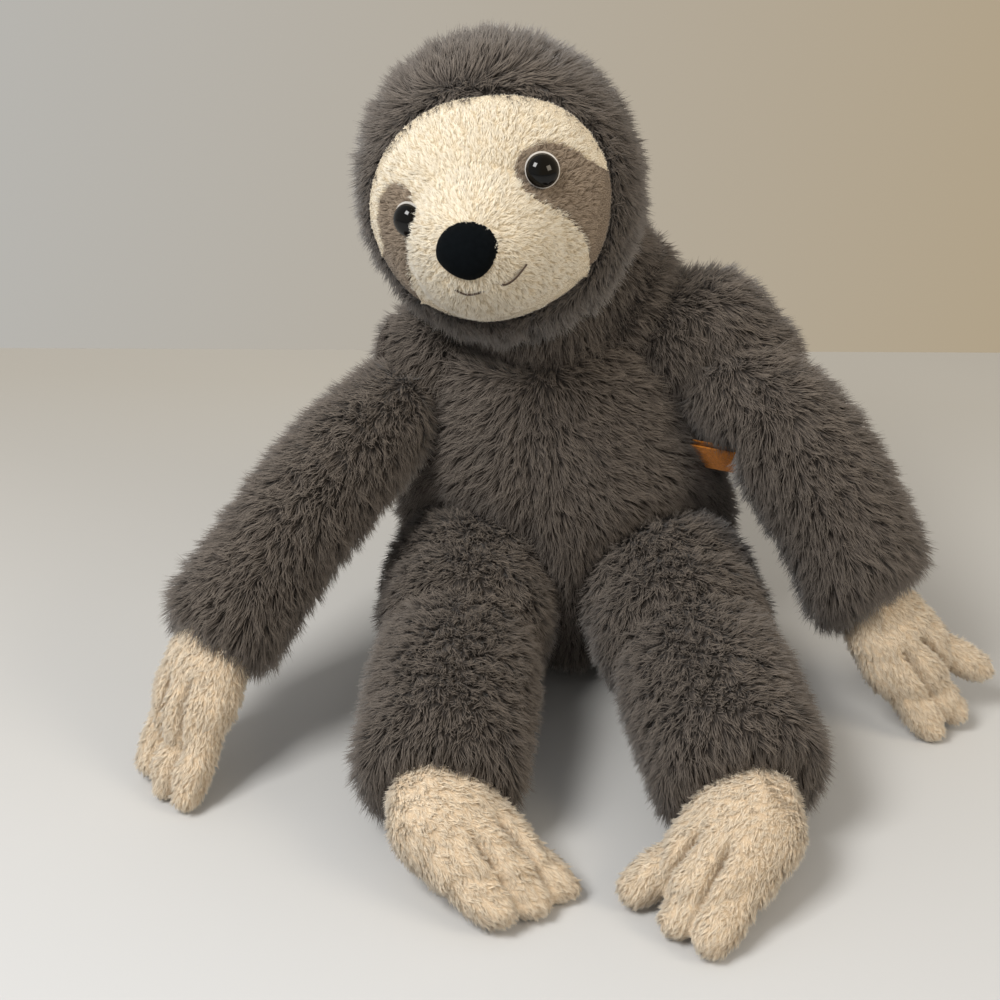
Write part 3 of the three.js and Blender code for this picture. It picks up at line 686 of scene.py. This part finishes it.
facePile = {
    "density": 3.4, "long": 3, "wide": 0.47, "rise": 0.46, "lay": 0.8, "lock": 2.3, "gather": 0.6,
    "lockTurn": 0.6, "wave": 6, "waveTurn": 1.5, "stray": 0.2, "twist": 0.5, "soft": 0.75, "under": 0.3,
    "seed": 41
}
patchSeed = 51


def faceForm():
    work = bmesh.new()
    inset = face["inset"]
    dome = bmesh.ops.create_icosphere(work, subdivisions=5, radius=1)["verts"]
    bmesh.ops.scale(work, verts=dome, vec=[(half - inset) * mm for half in face["domeHalves"]])
    for centre, halves in face["bulges"]:
        bulge = bmesh.ops.create_icosphere(work, subdivisions=5, radius=1)["verts"]
        bmesh.ops.scale(work, verts=bulge, vec=[half * mm for half in halves])
        bmesh.ops.translate(work, verts=bulge, vec=Vector(centre) * mm)
    return stuffedForm("faceForm", work, face["voxel"] * mm, face["ease"], 0)


def insideOutline(x, z, outline):
    # Even-odd count of the outline's edges to the right of each point
    within = np.zeros(len(x), bool)
    for (x0, z0), (x1, z1) in zip(outline, outline[1:] + outline[:1]):
        crosses = (z0 > z) != (z1 > z)
        with np.errstate(divide="ignore", invalid="ignore"):
            edge = (x1 - x0) * (z - z0) / (z1 - z0) + x0
        within ^= crosses & (x < edge)
    return within


def nearestOn(x, z, outline):
    best, bestX, bestZ = np.full(len(x), 1e9), x.copy(), z.copy()
    for (x0, z0), (x1, z1) in zip(outline, outline[1:] + outline[:1]):
        dx, dz = x1 - x0, z1 - z0
        share = np.clip(((x - x0) * dx + (z - z0) * dz) / (dx * dx + dz * dz), 0, 1)
        px, pz = x0 + share * dx, z0 + share * dz
        away = (px - x) ** 2 + (pz - z) ** 2
        nearer = away < best
        best = np.where(nearer, away, best)
        bestX, bestZ = np.where(nearer, px, bestX), np.where(nearer, pz, bestZ)
    return bestX, bestZ


def smoothEdge(outline, rounds=3):
    for _ in range(rounds):
        outline = [
            ((a[0] * w + b[0] * (4 - w)) / 4, (a[1] * w + b[1] * (4 - w)) / 4)
            for a, b in zip(outline, outline[1:] + outline[:1])
            for w in (3, 1)
        ]
    return outline


def facePart(form, name, keepFace, outlines, material):
    # The form's faces in one cloth's outline, its edge drawn onto that outline, moved to the head's place
    work = bmesh.new()
    work.from_mesh(form.data)
    middles = np.array([tuple(part.calc_center_median()) for part in work.faces]) / mm
    keep = keepFace(middles)
    bmesh.ops.delete(work, geom=[part for part, kept in zip(work.faces[:], keep) if not kept], context="FACES")
    edge = [vert for vert in work.verts if vert.is_boundary]
    place = np.array([tuple(vert.co) for vert in edge]) / mm
    for outline in outlines:
        x, z = nearestOn(place[:, 0], place[:, 2], outline)
        close = np.hypot(x - place[:, 0], z - place[:, 2]) < face["voxel"] * 1.2
        place[close, 0], place[close, 2] = x[close], z[close]
    for vert, spot in zip(edge, place):
        vert.co = Vector(spot) * mm
    bmesh.ops.smooth_vert(work, verts=[vert for vert in work.verts if not vert.is_boundary], factor=0.4)
    work.transform(headPlace)
    bmesh.ops.recalc_face_normals(work, faces=work.faces)
    return fromWork(name, work, material)


def thicken(piece, wall):
    solid = piece.modifiers.new("wall", "SOLIDIFY")
    solid.thickness, solid.offset = wall, -1
    return applied(piece)


def buildFace():
    say("face")
    form = faceForm()
    opening = smoothEdge(hood["opening"])
    patches = {side: smoothEdge(face[f"{side}Patch"]) for side in ("left", "right")}

    def inOpening(middles):
        return insideOutline(middles[:, 0], middles[:, 2], opening) & (middles[:, 1] < face["back"])

    def inPatch(middles, side):
        return insideOutline(middles[:, 0], middles[:, 2], patches[side])

    def plainPart(middles):
        return inOpening(middles) & ~inPatch(middles, "left") & ~inPatch(middles, "right")

    def comb(place):
        local = inHead(place)
        flow = local - np.array(face["combFrom"])
        return flow @ headWay.T

    def allOver(place, way):
        return np.ones(len(place))

    def lowAtRim(place, way):
        return np.clip(-pastOpening(inHead(place)) / face["rimFade"], 0.3, 1)

    def offNose(place, way):
        local = inHead(place) / mm
        under = ((local - np.array(face["noseAt"])) ** 2).sum(1) < face["noseReach"] ** 2
        return np.where(under, 0, 1)

    cream = facePart(form, "facePile", plainPart, [opening, patches["left"], patches["right"]], faceCloth)
    outer = thicken(cream, face["wall"] * mm)
    growPile(outer, facePile, comb, onlyOut(offNose), lowAtRim, faceCloth)
    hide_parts("face_panel")
    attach(outer, "head")
    for side in ("left", "right"):
        edges = [opening, patches[side]]
        patch = facePart(form, f"eyePatch_{side}", lambda m: inOpening(m) & inPatch(m, side), edges, patchCloth)
        thicken(patch, face["wall"] * mm)
        look = dict(facePile, seed=patchSeed + len(side))
        growPile(patch, look, comb, onlyOut(allOver), lowAtRim, patchCloth)
        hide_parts(f"eye_patch_{side}")
        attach(patch, "head")
    bpy.data.objects.remove(form)


def onlyOut(thick):
    # No pile on the cloth's inner side
    def outside(place, way):
        local = inHead(place)
        outward = local @ headWay.T
        return thick(place, way) * (np.sum(unit(outward) * way, axis=1) > 0.2)
    return outside


def onEllipsoid(x, z, centre, halves):
    # The front of one of the face's ellipsoids at a place across and up it: the point and the way it looks
    across, up = (x - centre[0]) / halves[0], (z - centre[2]) / halves[2]
    out = math.sqrt(1 - across ** 2 - up ** 2)
    way = Vector((across / halves[0], -out / halves[1], up / halves[2]))
    return Vector((x, centre[1] - halves[1] * out, z)), way.normalized()


def onMuzzle(x, z, lift):
    centre, halves = face["bulges"][0]
    spot, way = onEllipsoid(x, z, centre, halves)
    return spot + way * lift


# Eyes

eye = {
    "radius": 6.75, "dome": 5.2, "spread": 27.5, "aside": 2, "uneven": 3, "shank": 1.8, "base": 2.6,
    "end": -10.7, "ring": 7.25, "ringHole": 2.1, "ringLow": 1.2, "ringHigh": 1.8,
    "ringShift": (0.45, 0.25), "steps": 48
}


def turnedPiece(name, outline, side, material, shift=(0, 0)):
    # An outline of radius and height spun round the eye's own line
    hand = 1 if side == "left" else -1
    halves = [half - face["inset"] for half in face["domeHalves"]]
    spot, way = onEllipsoid(eye["aside"] + eye["spread"] * hand, eye["uneven"] * hand, (0, 0, 0), halves)
    spot += Vector((shift[0] * hand, 0, shift[1]))
    work = bmesh.new()
    line = [work.verts.new((radius * mm, 0, height * mm)) for radius, height in outline]
    edges = [work.edges.new(pair) for pair in zip(line, line[1:])]
    turn = {"axis": (0, 0, 1), "angle": math.tau, "steps": eye["steps"], "use_merge": True}
    bmesh.ops.spin(work, geom=line + edges, cent=(0, 0, 0), **turn)
    bmesh.ops.remove_doubles(work, verts=work.verts, dist=1e-6)
    bmesh.ops.recalc_face_normals(work, faces=work.faces)
    stand = headPlace @ Matrix.Translation(spot * mm) @ way.to_track_quat("Z", "Y").to_matrix().to_4x4()
    work.transform(stand)
    piece = fromWork(name, work, material)
    piece.data.polygons.foreach_set("use_smooth", np.ones(len(piece.data.polygons), bool))
    return piece


def buildEyes():
    say("eyes")
    for side in ("left", "right"):
        radius, base, dome, shank = eye["radius"], eye["base"], eye["dome"], eye["shank"]
        outline = [
            (0, eye["end"]), (shank, eye["end"]), (shank, base - 0.4), (radius - 0.6, base - 0.4),
            (radius - 0.15, base - 0.25)
        ]
        for step in range(12):
            turn = math.radians(step * 7.5)
            outline.append((radius * math.cos(turn), base + dome * math.sin(turn)))
        outline.append((0, base + dome))
        button = turnedPiece(f"eyeButton_{side}", outline, side, eyeGloss)
        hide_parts(f"eye_{side}")
        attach(button, "head")
        low, high, rim, hole = eye["ringLow"], eye["ringHigh"], eye["ring"], eye["ringHole"]
        outline = [
            (hole, low), (rim - 0.4, low), (rim - 0.1, low + 0.15), (rim, low + 0.45),
            (rim - 0.15, high - 0.15), (rim - 0.5, high), (hole, high), (hole, low)
        ]
        ring = turnedPiece(f"eyeBacking_{side}", outline, side, ringPlastic, eye["ringShift"])
        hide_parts(f"eye_ring_{side}")
        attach(ring, "head")


# Nose

nose = {
    "halfWide": 12.9, "halfHigh": 11.6, "halfDeep": 9, "aside": 1.2, "forward": 73.5, "drop": 19.7,
    "pinch": 0.22, "flat": 0.08
}


def buildNose():
    say("nose")
    work = bmesh.new()
    bmesh.ops.create_icosphere(work, subdivisions=5, radius=1)
    for vert in work.verts:
        x, y, z = vert.co
        full = abs(x) ** 2.3 + abs(z) ** 2.3
        narrow = 1 - nose["pinch"] * max(0, -z) ** 1.2
        vert.co = (x * narrow, y * (1 - nose["flat"] * full), z)
    halves = (nose["halfWide"] * mm, nose["halfDeep"] * mm, nose["halfHigh"] * mm)
    bmesh.ops.scale(work, verts=work.verts, vec=halves)
    spot = Vector((-nose["aside"], -nose["forward"], -nose["drop"])) * mm
    bmesh.ops.translate(work, verts=work.verts, vec=spot)
    work.transform(headPlace)
    bud = fromWork("nosePad", work, noseCloth)
    bud.data.polygons.foreach_set("use_smooth", np.ones(len(bud.data.polygons), bool))
    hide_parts("nose_cover", "nose_filling")
    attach(bud, "head")


# Mouth

mouth = {
    "radius": 0.42,
    "line": [
        (-10.6, -33, 0.8), (-8.1, -34.8, 1.2), (-5.2, -36.1, 1.3), (-0.9, -36.6, 0.6), (3, -36.6, -1.4),
        (6.5, -36, -1), (8.8, -35.3, 1.6), (11.6, -34.4, 2), (14.8, -32.5, 2), (18.2, -29.6, 1.8)
    ]
}


def tube(name, route, radius, material):
    curve = bpy.data.curves.new(name, "CURVE")
    curve.dimensions, curve.bevel_depth, curve.bevel_resolution = "3D", radius, 2
    curve.use_fill_caps, curve.resolution_u = True, 6
    line = curve.splines.new("NURBS")
    line.points.add(len(route) - 1)
    for spot, point in zip(route, line.points):
        point.co = (*spot, 1)
    line.use_endpoint_u, line.order_u = True, 3
    piece = bpy.data.objects.new(name, curve)
    scene.collection.objects.link(piece)
    mesh = bpy.data.meshes.new_from_object(piece.evaluated_get(bpy.context.evaluated_depsgraph_get()))
    bpy.data.objects.remove(piece)
    return finished(name, mesh, material)


def buildMouth():
    say("mouth")
    route = [headPlace @ (onMuzzle(x, z, lift) * mm) for x, z, lift in mouth["line"]]
    smile = tube("mouthThread", route, mouth["radius"] * mm, mouthThread)
    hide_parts("mouth_stitch")
    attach(smile, "head")


# Arms and legs

limbs = {
    "arm": {
        "voxel": 3, "ease": 6, "grow": 0.5, "swing": "arm_swing", "tip": "hand_flex", "cap": 28.5, "fall": 0.3,
        "flare": 2.5, "drape": {"left": 1, "right": 9}, "topHeld": 0.4, "pile": {}, "seed": 61,
        "more": {"left": [((12, 0, 4), 26), ((24, -4, -10), 27)]}
    },
    "leg": {
        "voxel": 3, "ease": 6, "grow": 0.5, "swing": "leg_lift", "tip": "foot_flex", "cap": 37.8, "fall": 0.35,
        "flare": 2.5, "drape": {"left": 4, "right": 8}, "topHeld": 1, "seed": 81,
        "pile": {"long": 8.8, "rise": 0.66, "lay": 0.72},
        "more": {"left": [((5.6, -21, -3), 37)], "right": [((-0.4, -22, -3), 36.5)]}
    }
}
cuffs = {
    "from": 0.72, "full": 0.2, "core": 0.012,
    "pileFrom": 0.75, "pileFull": 0.15, "pileTop": -0.25, "pileSide": 0.2
}


def buildLimb(limb, side):
    say(f"{limb} {side}")
    sizes = limbs[limb]
    root, tip = rootsOf(f"{sizes['swing']}_{side}"), rootsOf(f"{sizes['tip']}_{side}")
    line = (tip - root) / np.linalg.norm(tip - root)
    work = cadCopy(f"{limb}_filling_{side}")
    for shift, radius in [((0, 0, 0), sizes["cap"]), *sizes["more"].get(side, [])]:
        cap = bmesh.ops.create_icosphere(work, subdivisions=4, radius=radius * mm)["verts"]
        bmesh.ops.translate(work, verts=cap, vec=Vector(root) + Vector(shift) * mm)
    skin = stuffedForm(f"{limb}Fur_{side}", work, sizes["voxel"] * mm, sizes["ease"], sizes["grow"] * mm)
    reach = np.linalg.norm(tip - root)

    def share(place):
        return (place - root) @ line / reach

    place = points(skin.data)
    radial = place - root - np.outer(share(place) * reach, line)
    cuff = np.clip((share(place) - cuffs["from"]) / cuffs["full"], 0, 1)
    cuff *= np.clip(np.linalg.norm(radial, axis=1) / cuffs["core"], 0, 1)
    held = 1 - sizes["topHeld"] * np.clip(vertexNormals(skin.data)[:, 2] * 1.5, 0, 1)
    draped = np.outer(cuff * held * sizes["drape"][side] * mm, line)
    moveTo(skin.data, place + unit(radial) * cuff[:, None] * sizes["flare"] * mm + draped)

    def comb(place):
        flow = np.tile(line, (len(place), 1))
        flow[:, 2] -= sizes["fall"]
        return flow

    def thick(place, way):
        return np.where(way[:, 2] < -0.9, 0.35, 1) * np.where(place[:, 2] < 0.004, 0.2, 1)

    def long(place, way):
        atCuff = np.clip((share(place) - cuffs["pileFrom"]) / cuffs["pileFull"], 0, 1)
        more = np.where(way[:, 2] > 0.6, cuffs["pileTop"], cuffs["pileSide"])
        return shortNearFloor(place) * (1 + atCuff * more)

    look = dict(furPile, seed=sizes["seed"] + len(side), **sizes["pile"])
    growPile(skin, look, comb, thick, long, furCloth)
    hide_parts(f"{limb}_cover_{side}", f"{limb}_filling_{side}")
    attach(skin, f"{limb}_{side}")


# Hands and feet

paws = {
    "hand": {
        "voxel": 1.4, "ease": 4, "grow": 1.5, "joint": "hand_flex", "seed": 101,
        "finger": 8, "pitch": 12.5, "palm": 25, "start": 12,
        "fill": [((0, 0, 9), (18.5, 13, 20)), ((0, 0, 20), (20.5, 12, 25))],
        "left": {
            "length": 66, "heading": 77, "roll": 40, "tipShare": 0.5, "turns": (1, 5, 25), "shear": 0,
            "web": ((-6, 0, 49), (12, 6, 9))
        },
        "right": {
            "length": 70, "heading": -29, "roll": 8, "tipShare": 0.05, "turns": (-3, 0, 2), "shear": 0,
            "web": ((0, 0, 54), (17, 6.5, 9))
        }
    },
    "foot": {
        "voxel": 1.6, "ease": 4, "grow": 1.5, "joint": "foot_flex", "seed": 121,
        "finger": 9.5, "pitch": 14, "palm": 27, "start": 19,
        "fill": [((0, 0, 9), (22.5, 17, 22)), ((0, 0, 20), (22, 15.5, 25))],
        "left": {
            "length": 61, "heading": -38, "roll": 0, "tipShare": 0.46, "turns": (-18, 0, 3), "shear": 0,
            "web": ((7, 0, 46), (14, 7.5, 9))
        },
        "right": {
            "length": 61, "heading": 56, "roll": 0, "tipShare": 0.46, "turns": (0, 0, 2), "shear": 0.4,
            "web": ((0, 0, 46), (20, 8, 10))
        }
    }
}
stitching = {"wide": 1.8, "deep": 0.44, "runIn": 8, "floorCut": 0.5, "pileCut": 0.7}
pawPile = {
    "density": 2.43, "long": 3.4, "wide": 0.52, "rise": 0.44, "lay": 0.82, "lock": 2.3, "gather": 0.65,
    "lockTurn": 0.65, "wave": 6, "waveTurn": 1.3, "stray": 0.2, "twist": 0.5, "soft": 0.7, "under": 0.3
}


def pawPlace(paw, side):
    # The paw's own frame: across it, through it and along it from the wrist or ankle
    sizes, spec = paws[paw], paws[paw][side]
    end = places[f"{sizes['joint']}_{side}"]
    drop = end.z / mm - sizes["finger"] * spec["tipShare"] + stitching["floorCut"]
    turn = math.radians(spec["heading"])
    flat = math.sqrt(spec["length"] ** 2 - drop ** 2)
    way = Vector((math.sin(turn) * flat, -math.cos(turn) * flat, -drop)).normalized()
    across = Matrix.Rotation(math.radians(spec["roll"]), 3, way) @ Vector((math.cos(turn), math.sin(turn), 0))
    through = way.cross(across).normalized()
    axes = Matrix((through.cross(way), through, way)).transposed().to_4x4()
    return Matrix.Translation(end) @ axes


def stitched(local, sizes, turns):
    # How far inside one of the stitched lines between the fingers or toes a place is, as a share
    share = np.zeros(len(local))
    for which in (0, 1):
        turn = math.radians((turns[which] + turns[which + 1]) / 2)
        swung = math.sin(turn) * (sizes["palm"] - sizes["start"])
        x = local[:, 0] / mm - (which - 0.5) * sizes["pitch"] + swung
        z = local[:, 2] / mm - sizes["start"]
        off = x * math.cos(turn) - z * math.sin(turn)
        along = x * math.sin(turn) + z * math.cos(turn)
        groove = np.exp(-(off / stitching["wide"]) ** 2) * np.clip(along / stitching["runIn"], 0, 1)
        share = np.maximum(share, groove)
    return share


def buildPaw(paw, side):
    say(f"{paw} {side}")
    sizes, spec = paws[paw], paws[paw][side]
    frameAt = pawPlace(paw, side)
    work = cadCopy(f"{paw}_filling_{side}")
    for centre, halves in [*sizes["fill"], spec["web"]]:
        pad = bmesh.ops.create_icosphere(work, subdivisions=4, radius=1)["verts"]
        bmesh.ops.scale(work, verts=pad, vec=[half * mm for half in halves])
        bmesh.ops.translate(work, verts=pad, vec=Vector(centre) * mm)
        bmesh.ops.transform(work, verts=pad, matrix=frameAt)
    skin = stuffedForm(f"{paw}Pile_{side}", work, sizes["voxel"] * mm, sizes["ease"], sizes["grow"] * mm)
    axes, root = np.array(frameAt.to_3x3()), np.array(frameAt.translation)

    def inPaw(place):
        return (place - root) @ axes

    local = inPaw(points(skin.data))
    local[:, 1] *= 1 - stitching["deep"] * stitched(local, sizes, spec["turns"])
    ahead = np.clip((local[:, 2] / mm - sizes["palm"]) / sizes["pitch"], 0, 1)
    local[:, 2] += local[:, 0] * spec["shear"] * ahead
    moveTo(skin.data, local @ axes.T + root)

    def comb(place):
        return np.tile(axes[:, 2], (len(place), 1))

    def thick(place, way):
        return np.where((way[:, 2] < -0.9) | (place[:, 2] < 0.001), 0.3, 1)

    def long(place, way):
        groove = stitched(inPaw(place), sizes, spec["turns"])
        return shortNearFloor(place, 0.3, 0.008) * (1 - stitching["pileCut"] * groove)

    growPile(skin, dict(pawPile, seed=sizes["seed"] + len(side)), comb, thick, long, pawCloth)
    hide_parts(f"{paw}_cover_{side}", f"{paw}_filling_{side}")
    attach(skin, f"{paw}_{side}")


# The nodes that keep their CAD shapes, and those hidden inside

def dressInside():
    for node in frame["nodes"]:
        if "filling" in node:
            dress(node, wadding)
        elif "seam" in node:
            dress(node, seamThread)
        elif "washer" in node:
            dress(node, washerPlastic)
    dress("seat_bean_bag", beanCloth)
    dress("side_label", labelCloth)


# Floor, wall and light

room = {
    # The floor's near and far colours: painted shade and warm light make it darker and warmer towards the wall
    "near": colour(200, 201, 202), "far": colour(184, 179, 169), "fade": 0.3, "reach": 3,
    "edgeAt": (-0.053, 0.372, 0), "edgeTurn": 4.3,
    # The wall warmer and darker to the right: painted warm light falling from that side
    "wallLeft": colour(183, 181, 176), "wallRight": colour(177, 162, 137), "wallFrom": -0.4, "wallTo": 0.24,
    "light": (1, 0.98, 0.96, 1), "strength": 0.5, "lampSize": 0.5, "aimAt": (-0.02, -0.03, 0.12)
}


def slowShift(tree, coordinate, axis, low, high, first, last):
    # A colour that shifts slowly along one axis
    parted = tree.nodes.new("ShaderNodeSeparateXYZ")
    share = tree.nodes.new("ShaderNodeMapRange")
    share.inputs["From Min"].default_value, share.inputs["From Max"].default_value = first, last
    ramp = tree.nodes.new("ShaderNodeValToRGB")
    ramp.color_ramp.elements[0].color, ramp.color_ramp.elements[1].color = low, high
    tree.links.new(coordinate, parted.inputs["Vector"])
    tree.links.new(parted.outputs[axis], share.inputs["Value"])
    tree.links.new(share.outputs["Result"], ramp.inputs["Fac"])
    return ramp.outputs["Color"]


def buildFloor():
    material, tree, shader = newMaterial("floor", 0.7)
    place = tree.nodes.new("ShaderNodeTexCoord").outputs["Object"]
    # Darker and warmer towards the wall: painted shade and warm light
    tint = slowShift(tree, place, "Y", room["near"], room["far"], -room["fade"], room["fade"])
    tree.links.new(tint, shader.inputs["Base Color"])
    work = bmesh.new()
    bmesh.ops.create_grid(work, x_segments=1, y_segments=1, size=room["reach"])
    turn = math.radians(room["edgeTurn"])
    parts = work.verts[:] + work.edges[:] + work.faces[:]
    edgeWay = (-math.sin(turn), math.cos(turn), 0)
    bmesh.ops.bisect_plane(work, geom=parts, plane_co=room["edgeAt"], plane_no=edgeWay, clear_outer=True)
    fromWork("floor", work, material)


def buildWorld():
    # Past the floor's edge the world shows the wall's colour, warmer to the right as painted warm light, and it
    # lights the toy plainly
    world = bpy.data.worlds.new("world")
    world.use_nodes = True
    tree = world.node_tree
    light = tree.nodes["Background"]
    light.inputs["Color"].default_value = room["light"]
    light.inputs["Strength"].default_value = room["strength"]
    wall = tree.nodes.new("ShaderNodeBackground")
    way = tree.nodes.new("ShaderNodeTexCoord").outputs["Generated"]
    tint = slowShift(tree, way, "X", room["wallLeft"], room["wallRight"], room["wallFrom"], room["wallTo"])
    tree.links.new(tint, wall.inputs["Color"])
    path = tree.nodes.new("ShaderNodeLightPath")
    seen = path.outputs["Is Camera Ray"]
    for kind in ("Is Glossy Ray", "Is Transmission Ray"):
        either = tree.nodes.new("ShaderNodeMath")
        either.operation = "MAXIMUM"
        tree.links.new(seen, either.inputs[0])
        tree.links.new(path.outputs[kind], either.inputs[1])
        seen = either.outputs["Value"]
    mix = tree.nodes.new("ShaderNodeMixShader")
    tree.links.new(seen, mix.inputs["Fac"])
    tree.links.new(light.outputs["Background"], mix.inputs[1])
    tree.links.new(wall.outputs["Background"], mix.inputs[2])
    tree.links.new(mix.outputs["Shader"], tree.nodes["World Output"].inputs["Surface"])
    scene.world = world


def buildLamps():
    for name, spot, power, tint in (
        ("key", (-0.6, -0.7, 1.2), 17, (1, 0.99, 0.97)),
        ("fill", (0.95, -0.6, 0.8), 5, (1, 0.88, 0.7)),
    ):
        lamp = bpy.data.lights.new(name, "AREA")
        lamp.energy, lamp.size, lamp.color = power, room["lampSize"], tint
        holder = bpy.data.objects.new(name, lamp)
        holder.location = spot
        aim = Vector(room["aimAt"]) - Vector(spot)
        holder.rotation_euler = aim.to_track_quat("-Z", "Y").to_euler()
        scene.collection.objects.link(holder)


placeCamera()
dressInside()
buildTorso()
buildHood()
buildCollar()
buildFace()
buildEyes()
buildNose()
buildMouth()
for side in ("left", "right"):
    buildLimb("arm", side)
    buildLimb("leg", side)
    buildPaw("hand", side)
    buildPaw("foot", side)
buildFloor()
buildWorld()
buildLamps()
bpy.data.objects.remove(strand)
scene.view_settings.view_transform = "Standard"
say("sizes")
